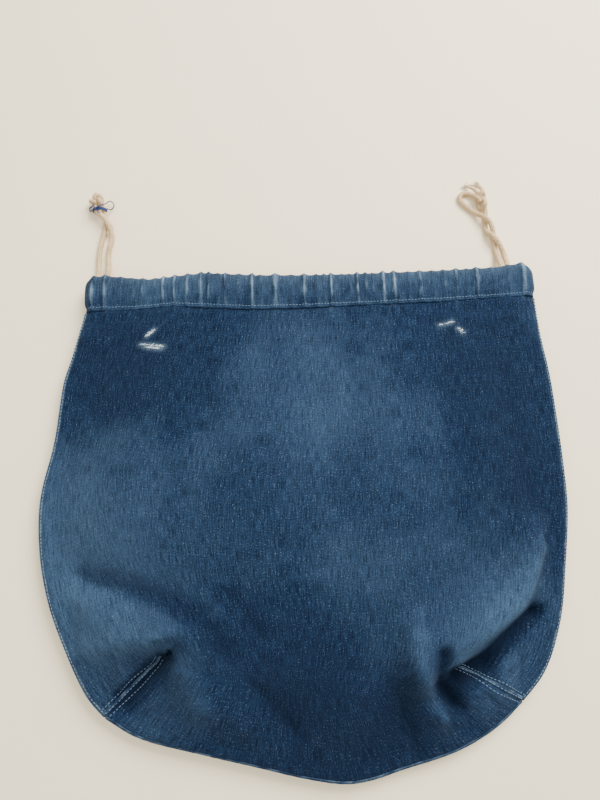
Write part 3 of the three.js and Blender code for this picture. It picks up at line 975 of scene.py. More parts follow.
    def finish_cloth(self, panel: bpy.types.Object) -> Surface:
        """Refine the fallen sheet, pleat it under the casing, store its wear, fade and painted fold shading and
        thicken it.

        Args:
            panel: The fallen sheet.

        Returns:
            The surface that stitching and strips follow.
        """
        finer = panel.modifiers.new("finer", "SUBSURF")
        finer.levels = finer.render_levels = 1
        finer.boundary_smooth = "PRESERVE_CORNERS"
        finer.uv_smooth = "NONE"
        apply_modifiers(panel)
        mesh = panel.data
        cut = cut_places(mesh)
        normals = vertex_normals(mesh)
        places = vertex_places(mesh)
        share, below = cut[:, 0] / self.width, self.height - cut[:, 1]
        reach = self.pleat_reach * (1 + np.array([noise.noise(Vector((s * 31, 2.0, 0))) for s in share]))
        pleat = self.gathers.relief(share) * np.exp(-np.maximum(below, 0) / np.maximum(reach, 0.006))
        rumple = np.array([
            0.0007 * noise.noise(Vector((x * 34, y * 16, 3)))
            + 0.0004 * noise.noise(Vector((x * 80, y * 60, 9)))
            for x, y in places[:, :2]
        ])
        edge = np.minimum.reduce([cut[:, 0], self.width - cut[:, 0], cut[:, 1] + 0.004])
        lift = self.pleat_height * pleat - 0.0004 + rumple * smooth_share(edge / 0.03)
        places += normals * lift[:, None]
        creases = sum(crease.lift(places) for crease in CREASES) * smooth_share(edge / 0.022)
        places[:, 2] = np.maximum(places[:, 2] + creases, 0.0065)
        mesh.vertices.foreach_set("co", places.ravel())
        mesh.update()
        surface = Surface(mesh, self.cell / 2, self.across * 2, self.up * 2)
        self._store_wear_fade_and_shading(panel, places, edge, pleat)
        thicken(panel, self.cloth, -1.0)
        return surface

    def _store_wear_fade_and_shading(self, panel: bpy.types.Object, places: np.ndarray, edge: np.ndarray,
                    pleat: np.ndarray) -> None:
        """Store how faded and how worn each point of the panel is, with painted highlight on crease crests and
        painted shade in crease hollows and over the lower middle.

        Args:
            panel: The panel.
            places: Its points.
            edge: Each point's distance from the cut's edge.
            pleat: The pleats' height at each point, from 0 to 1.
        """
        # Pale patches of fade, and darker patches with negative amounts. The two over the lower middle are
        # painted shade where the cloth tilts away from the light; the others simply darken the cloth.
        patches = (((-0.215, -0.01), 0.075, 0.55), ((-0.185, -0.10), 0.07, 0.50), ((0.205, -0.085), 0.035, 0.30),
                   ((0.02, 0.08), 0.11, 0.20), ((-0.175, 0.14), 0.07, -0.45), ((0.20, 0.13), 0.08, -0.40),
                   ((0.205, 0.00), 0.07, -0.45), ((0.03, -0.225), 0.09, -0.55), ((-0.01, -0.15), 0.07, -0.25))
        fade = sum(
            amount * np.exp(-((places[:, 0] - x) ** 2 + (places[:, 1] - y) ** 2) / size**2)
            for (x, y), size, amount in patches
        )
        # Painted light: the cloth is made paler along crease crests (painted highlight) and darker in crease
        # hollows (painted shade).
        relief = sum(crease.lift(places) for crease in CREASES) / 0.010
        fade = fade + 0.45 * np.maximum(relief, 0) + 0.75 * np.minimum(relief, 0)
        set_attribute(panel, "fade", np.clip(fade, -1, 1))
        wear = 0.16 * np.exp(-((edge / 0.003) ** 2)) + 0.7 * np.clip(pleat - 0.45, 0, 1)
        for line in (*LEFT_TEAR, *RIGHT_TEAR):
            wear = wear + 0.30 * np.exp(-((gap_to(curve_through(line, 0.001), places)[0] / 0.0026) ** 2))
        set_attribute(panel, "wear", np.clip(wear, 0, 1))

    def dress(self) -> Surface:
        """Make the finished panel, riding on the sack, and return its surface."""
        panel = self.build()
        self.drape(panel)
        surface = self.finish_cloth(panel)
        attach(panel, "sack")
        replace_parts(panel, "front_panel")
        area = self.width * self.height - 2 * (self.notch * self.cell) ** 2
        self.height
        return surface


# The back panel ----------------------------------------------------------------------------------


@dataclass
class BackPanel:
    """The panel underneath, flat on the table and turned up to the rim at its edges."""

    outline: Outline
    finish: bpy.types.Material
    columns: int = 96
    rows: int = 90
    turn_up: float = 0.034
    cloth: float = 0.001
    size: tuple[float, float] = (0.515, 0.457)
    cut_share: float = 0.955

    def build(self) -> bpy.types.Object:
        """Return the panel, riding on the sack."""
        left, right, base = self.outline.side(-1), self.outline.side(1), self.outline.base()
        neck = self.outline.neck()
        s = 0.5 - 0.5 * np.cos(np.linspace(0, math.pi, self.columns + 1))
        t = 0.5 - 0.5 * np.cos(np.linspace(0, math.pi, self.rows + 1))
        patch = filled_patch(points_at(base, s), points_at(neck, s), points_at(left, t), points_at(right, t))
        plan = patch.reshape(-1, 3)
        edge, _ = gap_to(self.outline.ring(), plan)
        near_neck = smooth_share((plan[:, 1] - 0.155) / 0.05)
        neck_low = self.outline.rim - self.outline.neck_height(plan[:, 0])
        at_neck = np.minimum(neck_low, self.outline.rim)
        rim = (1 - near_neck) * (self.outline.rim - self.cloth) + near_neck * at_neck
        curl = 1 - np.sqrt(np.clip(1 - (1 - np.clip(edge / self.turn_up, 0, 1)) ** 2, 0, 1))
        height = np.maximum(rim * curl, 0.0) + 0.0001
        lifted = np.column_stack([plan[:, :2], height]).reshape(patch.shape)
        bm = bmesh.new()
        bent_grid(bm, self.columns, self.rows,
                  lambda s, t: lifted[round(s * self.columns), round(t * self.rows)], self.size)
        panel = new_piece("back_panel_cloth", bm, self.finish, Slot.DENIM.value, closed=False)
        places_now = vertex_places(panel.data)
        set_attribute(panel, "fade", np.full(len(places_now), 0.12))
        set_attribute(panel, "wear", np.zeros(len(places_now)))
        thicken(panel, self.cloth, 1.0)
        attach(panel, "sack")
        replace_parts(panel, "back_panel")
        return panel


# The casings -------------------------------------------------------------------------------------


class Half(Enum):
    """The two halves of the casing round the mouth."""

    FRONT = 1
    BACK = -1


@dataclass
class Casing:
    """Half of the gathered hem round the mouth, a folded tube of cloth that the cords run in."""

    outline: Outline
    gathers: Gathers
    half: Half
    finish: bpy.types.Material
    columns: int = 460
    rings: int = 60
    size: tuple[float, float] = (0.515, 0.078)
    cloth: float = 0.0009
    thick: float = 0.0082
    neck: float = 0.0030
    mouth_wave: tuple = ((-0.226, 0.004), (-0.205, 0.0065), (-0.158, 0.0005), (-0.099, 0.006), (-0.045, 0.0015),
                         (0.003, -0.0004), (0.056, -0.0010), (0.146, -0.0006), (0.209, 0.001), (0.236, 0.0045),
                         (0.252, 0.001))

    def section(self) -> np.ndarray:
        """Return the tube's section, from neck to neck, as depth below the mouth edge and height."""
        deep = self.deep
        half, slim = self.thick / 2, self.neck / 2
        outer = [(deep, slim), (deep - 0.004, slim), (deep - 0.010, half * 0.86), (deep - 0.016, half),
                 (0.012, half), (0.0055, half * 0.93), (0.002, half * 0.66), (0.0003, half * 0.3), (0.0, 0.0)]
        inner = [(a, -b) for a, b in reversed(outer[:-1])]
        return points_at(curve_through(outer + inner, 0.0008), np.linspace(0, 1, self.rings + 1))

    def _ring(self, share: float) -> tuple[np.ndarray, np.ndarray]:
        """Return the middle of the casing's wall at a share of its length, and which way is outwards."""
        middle, straight = casing_run()
        radius = TURN_RADIUS
        bend = radius * math.pi / 2
        place = share * (2 * bend + 2 * straight)
        up = self.half.value
        if bend <= place <= bend + 2 * straight:
            return np.array([middle - straight + place - bend, up * radius]), np.array([0.0, float(up)])
        angle = math.pi - place / radius if place < bend else (2 * bend + 2 * straight - place) / radius
        side = -1 if place < bend else 1
        out = np.array([math.cos(angle), up * math.sin(angle)])
        return np.array([middle + side * straight, 0.0]) + out * radius, out

    def place_at(self, share: float, deep: float, stand: float) -> np.ndarray:
        """Return a point on the casing.

        Args:
            share: How far along the casing, from 0 at the left to 1 at the right.
            deep: Depth below the mouth edge on the even casing.
            stand: Height from the middle of the wall, out of the mouth.

        Returns:
            The point, in metres.
        """
        low, high = node_box("front_casing")
        centre, out = self._ring(share)
        x = centre[0] + out[0] * stand
        top = high.y + np.interp(x, *np.array(self.mouth_wave).T)
        bottom = low.y - 0.001 + np.interp(x, *np.array(self.outline.stitch_wave).T)
        part = deep / (high.y - low.y)
        y = top + (bottom - top) * part
        z = self.outline.rim + centre[1] + out[1] * stand
        return np.array([x, y, max(z, 0.0002)])

    def gathered_place(self, share: float, deep: float, stand: float) -> np.ndarray:
        """Return a point on the gathered casing, from its place on the even one."""
        crest = float(self.gathers.relief(np.array([share]))[0])
        near_mouth = 1 - deep / self.deep
        drift = 0.5 * noise.noise(Vector((share * 60, deep * 70, self.half.value)))
        amount = (crest - 0.42 + 0.3 * drift) * (0.35 + 0.65 * max(near_mouth, 0) ** 0.6)
        outward = min(max(0.0042 * amount, -0.0009), 0.0025) if stand >= 0 else -0.0006 * max(amount, 0.0)
        swell = 0.0002 * noise.noise(Vector((share * 14, 4.0, self.half.value)))
        drawn = 0.0016 * crest * max(near_mouth, 0) ** 4 - 0.0006
        return self.place_at(share, deep - drawn, stand + outward + swell)

    @property
    def deep(self) -> float:
        """Return how far the casing reaches down from the mouth edge."""
        low, high = node_box("front_casing")
        return high.y - low.y

    def build(self) -> bpy.types.Object:
        """Return the casing, riding on the sack."""
        section = self.section()
        word = self.half.name.lower()

        def place(s: float, t: float) -> Sequence[float]:
            """Return the casing's point at share s along it and t round its section."""
            return self.gathered_place(s, *section[round(t * self.rings)])

        bm = bmesh.new()
        bent_grid(bm, self.columns, self.rings, place, self.size)
        casing = new_piece(f"{word}_casing_cloth", bm, self.finish, Slot.DENIM.value, closed=False)
        cut = cut_places(casing.data) / self.size
        crest = self.gathers.relief(cut[:, 0])
        near_mouth = 1 - section[np.rint(cut[:, 1] * self.rings).astype(int), 0] / self.deep
        spots = list(zip(cut[:, 0], near_mouth))
        drift = np.array([noise.noise(Vector((s * 60, near * 3, self.half.value))) for s, near in spots])
        broken = np.array([noise.noise(Vector((s * 230, near * 5, 7.0))) for s, near in spots])
        worn = np.maximum(crest - 0.50 + 0.25 * drift + 0.22 * broken, 0)
        wear = worn * 2.2 * np.maximum(near_mouth, 0) ** 0.7
        set_attribute(casing, "wear", np.clip(wear + 0.15 * np.maximum(near_mouth, 0) ** 3, 0, 1))
        set_attribute(casing, "fade", np.clip(0.22 + 0.3 * drift, 0, 1))
        thicken(casing, self.cloth, -1.0 if self._faces_out(casing.data) else 1.0)
        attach(casing, "sack")
        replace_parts(casing, f"{word}_casing")
        return casing

    def stitch_line(self) -> tuple[np.ndarray, np.ndarray]:
        """Return the line that the casing is sewn down along, and the outward directions on it."""
        shares = np.linspace(0.012, 0.988, 700)
        deep = self.deep - 0.0034
        line = np.array([self.gathered_place(share, deep, self.neck / 2) for share in shares])
        outward = np.array([(0.0, 0.0, float(self.half.value))] * len(shares))
        return line, outward

    def _faces_out(self, mesh: bpy.types.Mesh) -> bool:
        """Return whether the sheet's faces point out of the tube."""
        highest = max(mesh.polygons, key=lambda polygon: self.half.value * polygon.center.z)
        return self.half.value * highest.normal.z > 0


# Studio ------------------------------------------------------------------------------------------


@dataclass
class Studio:
    """A pale table, soft light and the camera."""

    camera_place: Point = (-0.008, -0.052, 0.600)
    tilt: float = 15.0
    turn: float = -2.117
    lens: float = 27.0

    def build(self) -> None:
        """Set the stage."""
        bm = bmesh.new()
        bmesh.ops.create_grid(bm, x_segments=1, y_segments=1, size=3.0)
        mesh = bpy.data.meshes.new("table_top")
        bm.to_mesh(mesh)
        bm.free()
        mesh.materials.append(TableTop().material())
        table = bpy.data.objects.new("table_top", mesh)
        bpy.context.scene.collection.objects.link(table)
        self._light("key_light", (0.95, 1.25, 1.35), 1.2, 98.0, (1.0, 0.97, 0.92))
        self._light("fill_light", (-0.6, -0.5, 2.2), 1.8, 22.0, (1.0, 0.99, 0.96))
        world = bpy.data.worlds.new("soft_room")
        world.use_nodes = True
        background = world.node_tree.nodes["Background"]
        background.inputs[0].default_value = (1.0, 0.985, 0.95, 1)
        background.inputs[1].default_value = 0.98
        bpy.context.scene.world = world
        camera = bpy.data.objects.new("camera", bpy.data.cameras.new("camera"))
        camera.data.sensor_width = 36.0
        camera.data.lens = self.lens
        camera.location = self.camera_place
        camera.rotation_euler = (math.radians(self.tilt), 0.0, math.radians(self.turn))
        bpy.context.scene.collection.objects.link(camera)
        bpy.context.scene.camera = camera

    def _light(self, name: str, place: Point, size: float, power: float, colour: tuple) -> None:
        """Hang a square soft light that faces the sack."""
        lamp = bpy.data.lights.new(name, "AREA")
        lamp.shape = "SQUARE"
        lamp.size = size
        lamp.energy = power
        lamp.color = colour
        light = bpy.data.objects.new(name, lamp)
        light.location = place
        light.rotation_euler = (-Vector(place)).to_track_quat("-Z", "Y").to_euler()
        bpy.context.scene.collection.objects.link(light)


# Drawcords ---------------------------------------------------------------------------------------


IN_MOUTH = 0.0122
ON_TABLE = 0.0029
LEFT_CORNER = (-0.226, 0.241)
RIGHT_CORNER = (0.252, 0.241)


def over(share: float) -> float:
    """Return the height of a strand that crosses over another; 1 is right on top of it."""
    return ON_TABLE + 0.0061 * share


def drop(share: float) -> float:
    """Return the height of a strand on its way down from the mouth; 1 is at the mouth."""
    return ON_TABLE + 0.0093 * share


def rope_shape(lay: float) -> Callable[[float, float], float]:
    """Return the section of three yarns laid together, turning once in each lay length."""
    return lambda angle, along: 0.84 + 0.16 * abs(math.cos(1.5 * (angle - 2 * math.pi * along / lay)))


@dataclass(frozen=True)
class Strand:
    """One strand of a drawcord, from inside the mouth to its knot. Its route starts at the mouth's corner."""

    name: str
    replaced: str
    body: str
    corner: tuple[float, float]
    tail: float
    route: tuple
    diameter: float = 0.0055
    lay: float = 0.0150

    def path(self) -> np.ndarray:
        """Return the strand's middle line."""
        across = self.route[0][0]
        inside = [(across, self.tail * part, IN_MOUTH) for part in (1.0, 0.75, 0.5, 0.25)]
        places = [(self.corner[0] + x, self.corner[1] + y, z) for x, y, z in (*inside, *self.route)]
        return curve_through(places, 0.0011)

    def build(self, finish: bpy.types.Material, with_pieces: Sequence[str]) -> bpy.types.Object:
        """Return the strand.

        Args:
            finish: The cord's material.
            with_pieces: Names of the pieces that hang on this strand; not used.

        Returns:
            The strand.
        """
        path = self.path()
        bm = bmesh.new()
        tube(bm, path, self.diameter / 2 * 1.03, 18, rope_shape(self.lay))
        strand = new_piece(self.name, bm, finish, Slot.CORD.value)
        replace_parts(strand, self.replaced)
        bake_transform(strand)
        length = float(lengths_along(path)[-1])
        log.info("%s: %.0f mm of cord", self.name, length * 1000)
        return strand


@dataclass(frozen=True)
class Knot:
    """An overhand knot pulled tight."""

    name: str
    replaced: str
    body: str
    centre: Point
    size: Point
    turn: float
    radius: float = 0.0026

    def build(self, finish: bpy.types.Material) -> bpy.types.Object:
        """Return the knot, riding on its drawcord."""
        angle = np.linspace(0.25, 2 * math.pi - 0.25, 150)
        half = (np.array(self.size) / 2 - self.radius) / (3.0, 3.0, 1.0)
        loop = np.stack([
            (np.sin(angle) + 2 * np.sin(2 * angle)) * half[0],
            (np.cos(angle) - 2 * np.cos(2 * angle)) * half[1],
            -np.sin(3 * angle) * half[2],
        ], axis=1)
        cosine, sine = math.cos(self.turn), math.sin(self.turn)
        turned = np.stack([
            loop[:, 0] * cosine - loop[:, 1] * sine, loop[:, 0] * sine + loop[:, 1] * cosine, loop[:, 2]
        ], axis=1)
        bm = bmesh.new()
        tube(bm, turned + self.centre, self.radius, 16, rope_shape(0.015))
        knot = new_piece(self.name, bm, finish, Slot.CORD.value)
        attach(knot, self.body)
        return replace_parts(knot, self.replaced)


@dataclass(frozen=True)
class FrayedEnd:
    """A cord's cut end past the knot, opened into its fibres."""

    name: str
    replaced: str
    body: str
    corner: tuple[float, float]
    route: tuple
    seed: int
    fibres: int = 26

    def build(self, finish: bpy.types.Material) -> bpy.types.Object:
        """Return the end, riding on its drawcord."""
        draw = random.Random(self.seed)
        path = curve_through([(self.corner[0] + x, self.corner[1] + y, z) for x, y, z in self.route], 0.0010)
        bm = bmesh.new()
        whole = lengths_along(path)[-1]
        laid = rope_shape(0.015)
        tube(bm, path, 0.0026, 14, lambda angle, along: laid(angle, along) * (1 - 0.45 * (along / whole) ** 2))
        ahead = path[-1] - path[-4]
        ahead /= np.linalg.norm(ahead)
        aside = np.array([-ahead[1], ahead[0], 0.0])
        for _ in range(self.fibres):
            spread, reach = draw.uniform(-1, 1), draw.uniform(0.003, 0.0085)
            start = points_at(path, np.array([draw.uniform(0.45, 0.9)]))[0] + aside * 0.0016 * spread
            start[2] += draw.uniform(-0.0006, 0.0012)
            middle = path[-1] + aside * 0.0028 * spread + (0, 0, draw.uniform(-0.0002, 0.0012))
            end = path[-1] + ahead * reach + aside * spread * reach * 0.9 + (0, 0, draw.uniform(-0.001, 0.001))
            for point in (start, middle, end):
                point[2] = max(point[2], 0.0005)
            tube(bm, curve_through([start, middle, end], 0.0015), 0.00025, 5)
        piece = new_piece(self.name, bm, finish, Slot.CORD.value)
        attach(piece, self.body)
        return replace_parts(piece, self.replaced)


@dataclass(frozen=True)
class TieThread:
    """A dark thread wound round both left strands under the knot, with two loose loops and a tail."""

    centre: Point = (-0.2178, 0.3349, 0.0060)
    half: tuple[float, float] = (0.0077, 0.0051)
    radius: float = 0.0006

    def build(self, finish: bpy.types.Material) -> bpy.types.Object:
        """Return the thread, riding on the left drawcord."""
        turns = []
        for step in range(49):
            angle = 2 * math.pi * step / 16
            turns.append((
                self.centre[0] + self.half[0] * math.cos(angle),
                self.centre[1] + 0.0012 * step / 16 - 0.0018,
                max(self.centre[2] + self.half[1] * math.sin(angle), 0.0008),
            ))
        loops = [(-0.2060, 0.3360, 0.0050), (-0.2030, 0.3420, 0.0040), (-0.2070, 0.3470, 0.0050),
                 (-0.2110, 0.3420, 0.0080), (-0.2160, 0.3370, 0.0125), (-0.2230, 0.3330, 0.0120),
                 (-0.2290, 0.3350, 0.0040), (-0.2310, 0.3410, 0.0015), (-0.2270, 0.3440, 0.0020),
                 (-0.2240, 0.3390, 0.0120), (-0.2190, 0.3310, 0.0122), (-0.2120, 0.3260, 0.0090),
                 (-0.2070, 0.3200, 0.0012), (-0.2040, 0.3130, 0.0008)]
        bm = bmesh.new()
        tube(bm, curve_through(turns + loops, 0.0007), self.radius, 6)
        piece = new_piece("left_tie", bm, finish, Slot.TIE.value)
        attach(piece, "left_drawcord")
        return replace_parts(piece, "left_tie_thread")


@dataclass
class Drawcords:
    """The two drawcords where they hang out of the mouth."""

    finishes: Finishes

    def build(self) -> None:
        """Make the four strands, both knots, the frayed ends and the tie thread."""
        self._left()
        self._right()

    def _left(self) -> None:
        """Make the left drawcord."""
        body = "left_drawcord"
        knot = Knot(
            "left_overhand_knot", "left_knot", body, (-0.2215, 0.3465, 0.0066), (0.018, 0.019, 0.0128), 0.6
        )
        knot.build(self.finishes.cord)
        TieThread().build(self.finishes.tie)
        Strand("left_cord_a", "left_strand_a", body, LEFT_CORNER, -0.04075, (
            (0.0130, 0.002, IN_MOUTH), (0.0128, 0.006, drop(0.97)), (0.0120, 0.012, drop(0.73)),
            (0.0110, 0.018, drop(0.38)), (0.0100, 0.024, drop(0.10)), (0.0095, 0.030, drop(0.01)),
            (0.0094, 0.042, ON_TABLE), (0.0108, 0.054, ON_TABLE), (0.0126, 0.064, ON_TABLE),
            (0.0141, 0.073, ON_TABLE), (0.0149, 0.081, ON_TABLE), (0.0144, 0.087, over(0.07)),
            (0.0125, 0.094, over(0.36)), (0.0090, 0.101, over(0.60)), (0.0050, 0.105, over(0.60)),
        )).build(self.finishes.cord, ["left_overhand_knot"])
        Strand("left_cord_b", "left_strand_b", body, LEFT_CORNER, -0.04075, (
            (0.0220, 0.002, IN_MOUTH), (0.0220, 0.006, drop(0.97)), (0.0217, 0.012, drop(0.73)),
            (0.0212, 0.018, drop(0.40)), (0.0206, 0.024, drop(0.12)), (0.0200, 0.030, drop(0.01)),
            (0.0194, 0.040, ON_TABLE), (0.0205, 0.050, ON_TABLE), (0.0225, 0.060, over(0.03)),
            (0.0214, 0.067, over(0.28)), (0.0194, 0.0735, over(0.78)), (0.0162, 0.080, over(1.0)),
            (0.0102, 0.087, over(0.95)), (0.0048, 0.0925, over(0.66)), (0.0026, 0.098, over(0.55)),
            (0.0040, 0.104, over(0.60)),
        )).build(self.finishes.cord, ["left_tie"])

    def _right(self) -> None:
        """Make the right drawcord."""
        body = "right_drawcord"
        knot = Knot(
            "right_overhand_knot", "right_knot", body, (0.2095, 0.332, 0.0066), (0.016, 0.026, 0.0128), 0.15
        )
        knot.build(self.finishes.cord)
        FrayedEnd("right_frayed_end_1", "right_cord_end_1", body, RIGHT_CORNER, (
            (-0.0440, 0.096, over(0.60)), (-0.0465, 0.1025, over(0.70)), (-0.0500, 0.107, over(0.45)),
            (-0.0535, 0.110, over(0.10)),
        ), 3).build(self.finishes.fray)
        FrayedEnd("right_frayed_end_2", "right_cord_end_2", body, RIGHT_CORNER, (
            (-0.0400, 0.097, over(0.60)), (-0.0395, 0.104, over(0.55)), (-0.0405, 0.1085, over(0.30)),
            (-0.0425, 0.112, over(0.03)),
        ), 4).build(self.finishes.fray)
        Strand("right_cord_a", "right_strand_a", body, RIGHT_CORNER, -0.04775, (
            (-0.0320, 0.002, IN_MOUTH), (-0.0318, 0.006, drop(0.97)), (-0.0316, 0.012, drop(0.73)),
            (-0.0315, 0.018, drop(0.38)), (-0.0318, 0.024, drop(0.10)), (-0.0321, 0.030, drop(0.01)),
            (-0.0326, 0.036, ON_TABLE), (-0.0328, 0.042, ON_TABLE), (-0.0324, 0.047, over(0.02)),
            (-0.0326, 0.052, over(0.22)), (-0.0342, 0.057, over(0.66)), (-0.0372, 0.0625, over(1.0)),
            (-0.0410, 0.0675, over(0.96)), (-0.0452, 0.072, over(0.55)), (-0.0500, 0.077, over(0.14)),
            (-0.0555, 0.0825, ON_TABLE), (-0.0610, 0.088, ON_TABLE), (-0.0646, 0.094, ON_TABLE),
            (-0.0640, 0.0995, ON_TABLE), (-0.0590, 0.102, ON_TABLE), (-0.0530, 0.1005, over(0.10)),
            (-0.0480, 0.097, over(0.40)), (-0.0440, 0.093, over(0.60)),
        )).build(self.finishes.cord, ["right_overhand_knot", "right_frayed_end_1", "right_frayed_end_2"])
        Strand("right_cord_b", "right_strand_b", body, RIGHT_CORNER, -0.04775, (
            (-0.0250, 0.002, IN_MOUTH), (-0.0249, 0.006, drop(0.97)), (-0.0244, 0.012, drop(0.73)),
            (-0.0242, 0.018, drop(0.42)), (-0.0248, 0.0245, over(0.42)), (-0.0270, 0.031, over(0.56)),
            (-0.0300, 0.037, over(0.88)), (-0.0330, 0.042, over(1.0)), (-0.0365, 0.047, over(0.74)),
            (-0.0392, 0.0525, over(0.24)), (-0.0400, 0.058, over(0.02)), (-0.0396, 0.064, ON_TABLE),
            (-0.0388, 0.070, ON_TABLE), (-0.0380, 0.076, over(0.08)), (-0.0388, 0.082, over(0.35)),
            (-0.0420, 0.090, over(0.60)),
        )).build(self.finishes.cord, [])


# Sewing ------------------------------------------------------------------------------------------


def stitch_row(bm: bmesh.types.BMesh, line: np.ndarray, outward: np.ndarray, lift: float,
               pitch: float = 0.0034, long: float = 0.0026, thick: float = 0.0006) -> None:
    """Add a row of stitches along a line.

    Args:
        bm: The mesh that gets the stitches.
        line: The seam line's points.
        outward: The outward direction at each point.
        lift: How far the stitches stand off the line.
        pitch: The distance between stitches.
        long: The length of one.
        thick: The width of one.
    """
    travelled = lengths_along(line)
    count = int(travelled[-1] / pitch)
    shares = (np.arange(count) + 0.5) / count
    places = points_at(line, shares)
    ahead = points_at(line, np.minimum(shares + 0.001, 1)) - points_at(line, shares - 0.001)
    spots = shares * travelled[-1]
    up = np.stack([np.interp(spots, travelled, outward[:, axis]) for axis in range(3)], axis=1)
    for place, forward, out in zip(places, ahead, up):
        forward = Vector(forward).normalized()
        side = Vector(out).cross(forward).normalized()
        out = forward.cross(side)
        turn = Matrix((forward * long / 2, side * thick / 2, out * thick / 2)).transposed().to_4x4()
        turn.translation = Vector(place) + out * lift
        bmesh.ops.create_uvsphere(bm, u_segments=6, v_segments=4, radius=1.0, matrix=turn, calc_uvs=True)


@dataclass(frozen=True)
class SewnLine:
    """A straight line on the front panel's cut, and where it lies on the finished panel."""

    surface: Surface
    start: tuple[float, float]
    end: tuple[float, float]

    def samples(self) -> tuple[np.ndarray, np.ndarray]:
        """Return the line's points and the outward directions on it."""
        count = max(8, math.ceil(math.dist(self.start, self.end) / 0.0015))
        cut = np.linspace(self.start, self.end, count)
        found = [self.surface.at(u, v) for u, v in cut]
        return np.array([point for point, _ in found]), np.array([normal for _, normal in found])


@dataclass(frozen=True)
class FelledSeam:
    """A flat seam of folded cloth that runs along a line of the front panel."""

    name: str
    replaced: str
    line: SewnLine
    width: float
    thickness: float
    finish: bpy.types.Material
    wear: float = 0.45

    def build(self) -> bpy.types.Object:
        """Return the seam, riding on the sack."""
        points, outward = self.line.samples()
        ahead = np.gradient(points, axis=0)
        across = np.cross(ahead, outward)
        across /= np.linalg.norm(across, axis=1)[:, None]
        last, sides = len(points) - 1, 16
        bm = bmesh.new()

        def place(s: float, t: float) -> Sequence[float]:
            """Return the seam's point at share s round its section and t along it."""
            ring, side = round(t * last), round(s * sides) % sides
            angle = 2 * math.pi * side / sides
            aside = math.copysign(abs(math.cos(angle)) ** 0.7, math.cos(angle))
            height = math.copysign(abs(math.sin(angle)) ** 0.6, math.sin(angle)) * (0.72 + 0.4 * aside**2)
            pucker = 0.00022 * noise.noise(Vector((t * last * 0.35, aside, len(self.name))))
            return (points[ring] + across[ring] * aside * self.width / 2
                    + outward[ring] * (height * self.thickness / 2 + pucker))

        length = lengths_along(points)[-1]
        bent_grid(bm, sides, last, place, (self.width * 2, length))
        bmesh.ops.remove_doubles(bm, verts=list(bm.verts), dist=1e-7)
        bmesh.ops.holes_fill(bm, edges=[edge for edge in bm.edges if edge.is_boundary], sides=sides)
        seam = new_piece(self.name, bm, self.finish, Slot.DENIM.value)
        places = vertex_places(seam.data)
        speckle = np.array([noise.noise(Vector(place) * 160) for place in places])
        set_attribute(seam, "wear", np.clip(self.wear + 0.35 * speckle, 0, 1))
        set_attribute(seam, "fade", np.full(len(places), 0.2))
        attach(seam, "sack")
        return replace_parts(seam, self.replaced)


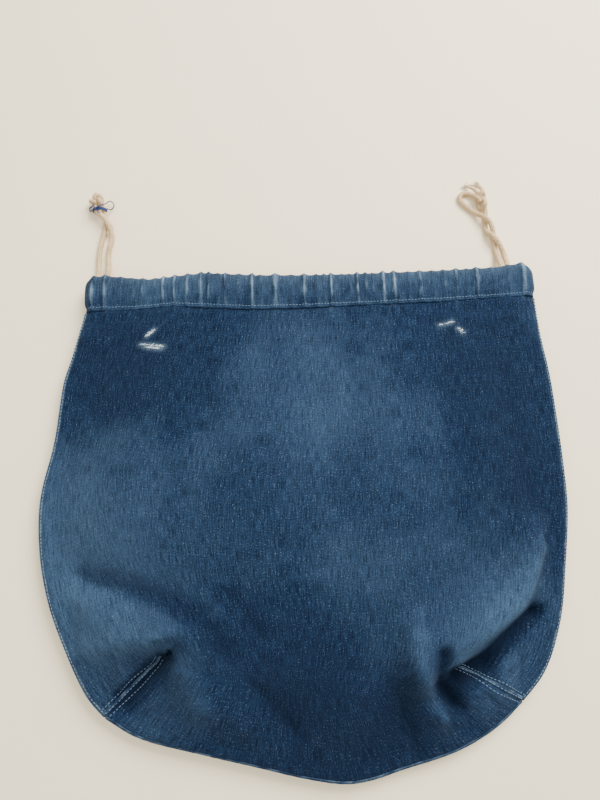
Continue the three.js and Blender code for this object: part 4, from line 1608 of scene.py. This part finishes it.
@dataclass
class Sewing:
    """Everything sewn on the front panel and the casings: felled seams, stitch rows and two worn tears."""

    panel: FrontPanel
    surface: Surface
    casings: dict
    finishes: Finishes

    def build(self) -> None:
        """Make the seams, the stitching and the tears."""
        self._seams()
        self._side_stitching(-1, "left_side_stitches", "left_side_stitching")
        self._side_stitching(1, "right_side_stitches", "right_side_stitching")
        for half, casing in self.casings.items():
            self._casing_stitching(casing, half)
        self._corner_stitching()
        self._tear("left_tear", LEFT_TEAR, 64, 5)
        self._tear("right_tear", RIGHT_TEAR, 20, 6)

    def _flat(self, side: int, u: float, v: float) -> tuple[float, float]:
        """Return a place on the cut, measured in from the left or the right side."""
        return (u if side < 0 else self.panel.width - u, v)

    def _line(self, side: int, start: tuple[float, float], end: tuple[float, float]) -> SewnLine:
        """Return a line on the cut, measured in from the left or the right side."""
        return SewnLine(self.surface, self._flat(side, *start), self._flat(side, *end))

    def _seams(self) -> None:
        """Make the side, bottom and corner seams."""
        notch = self.panel.notch * self.panel.cell
        for side, word in ((-1, "left"), (1, "right")):
            line = self._line(side, (0.0016, notch + 0.001), (0.0016, self.panel.height - 0.004))
            FelledSeam(f"{word}_side_seam_cover", f"{word}_side_seam", line, 0.0042, 0.0019,
                       self.finishes.denim, 0.16 if side < 0 else 0.05).build()
            line = self._line(side, (0.001, notch + 0.0020), (notch - 0.002, notch + 0.0020))
            FelledSeam(f"{word}_corner_seam_cover", f"{word}_corner_seam", line, 0.0030, 0.0013,
                       self.finishes.denim, 0.12).build()
        line = SewnLine(self.surface, (notch + 0.001, 0.0010), (self.panel.width - notch - 0.001, 0.0010))
        FelledSeam("bottom_seam_cover", "bottom_seam", line, 0.0030, 0.0018, self.finishes.denim, 0.10).build()

    def _stitches(self, name: str, rows: Sequence[tuple], replaced: Sequence[str]) -> None:
        """Make one piece of stitching.

        Args:
            name: The piece's name.
            rows: For each row its line, the outward directions on it and how far it stands off.
            replaced: The frame's nodes that the piece stands for.
        """
        bm = bmesh.new()
        for line, outward, lift in rows:
            stitch_row(bm, line, outward, lift)
        piece = new_piece(name, bm, self.finishes.stitch, Slot.STITCH.value)
        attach(piece, "sack")
        if replaced:
            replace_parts(piece, *replaced)

    def _side_stitching(self, side: int, name: str, replaced: str) -> None:
        """Sew the two rows of a side seam."""
        notch = self.panel.notch * self.panel.cell
        rows = []
        for u, lift in ((0.0006, 0.00115), (0.0034, 0.00110)):
            line = self._line(side, (u, notch + 0.003), (u, self.panel.height - 0.004))
            rows.append((*line.samples(), lift))
        self._stitches(name, rows, [replaced])

    def _casing_stitching(self, casing: Casing, half: Half) -> None:
        """Sew a casing down."""
        word = half.name.lower()
        line, outward = casing.stitch_line()
        self._stitches(f"{word}_casing_stitches", [(line, outward, 0.0002)], [f"{word}_casing_stitching"])

    def _corner_stitching(self) -> None:
        """Sew the corner seams."""
        notch = self.panel.notch * self.panel.cell
        rows = []
        for side in (-1, 1):
            for v, lift in ((notch + 0.0012, 0.0009), (notch + 0.0054, 0.0002)):
                rows.append((*self._line(side, (0.003, v), (notch - 0.004, v)).samples(), lift))
            line = self._line(side, (notch + 0.0030, 0.003), (notch + 0.0030, notch - 0.004))
            rows.append((*line.samples(), 0.0002))
        self._stitches("corner_stitches", rows, [])

    def _tear(self, name: str, lines: Sequence, count: int, seed: int) -> None:
        """Lay pale broken threads along the lines of a worn tear."""
        draw = random.Random(seed)
        bm = bmesh.new()
        for number in range(count):
            along = curve_through(lines[number % len(lines)], 0.001)
            centre = points_at(along, np.array([draw.uniform(0, 1)]))[0]
            half, slope = draw.uniform(0.0010, 0.0030), draw.gauss(0.15, 0.35)
            points = []
            for part in (-1, 0, 1):
                x = centre[0] + part * half * math.cos(slope) + draw.gauss(0, 0.0002)
                y = centre[1] + part * half * math.sin(slope) + draw.gauss(0, 0.0002)
                point, normal = self.surface.at(*self.surface.near(x, y))
                points.append(np.array([x, y, point[2]]) + normal * draw.uniform(0.0001, 0.0006))
            tube(bm, curve_through(points, 0.001), draw.uniform(0.00012, 0.00024), 5)
        piece = new_piece(name, bm, self.finishes.tear, Slot.DENIM.value)
        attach(piece, "sack")


# The whole sack ----------------------------------------------------------------------------------


def finish_frame_nodes(finishes: Finishes) -> None:
    """Give the frame's own hidden cord runs their finish."""
    for name in ("left_drawcord_run", "right_drawcord_run"):
        node = bpy.data.objects[name]
        node.data.materials.clear()
        node.data.materials.append(finishes.cord)


def main() -> None:
    """Build the scene."""
    logging.basicConfig(level=logging.INFO, format="%(message)s")
    Studio().build()
    log.info("studio ready")
    finishes = Finishes()
    Drawcords(finishes).build()
    log.info("drawcords made")
    outline, gathers = Outline(), Gathers()
    BackPanel(outline, finishes.denim).build()
    log.info("back panel made")
    panel = FrontPanel(outline, gathers, finishes.denim)
    surface = panel.dress()
    log.info("front panel made")
    casings = {half: Casing(outline, gathers, half, finishes.denim) for half in Half}
    for casing in casings.values():
        casing.build()
    log.info("casings made")
    Sewing(panel, surface, casings, finishes).build()
    log.info("sewing made")
    finish_frame_nodes(finishes)


if __name__ == "__main__":
    main()
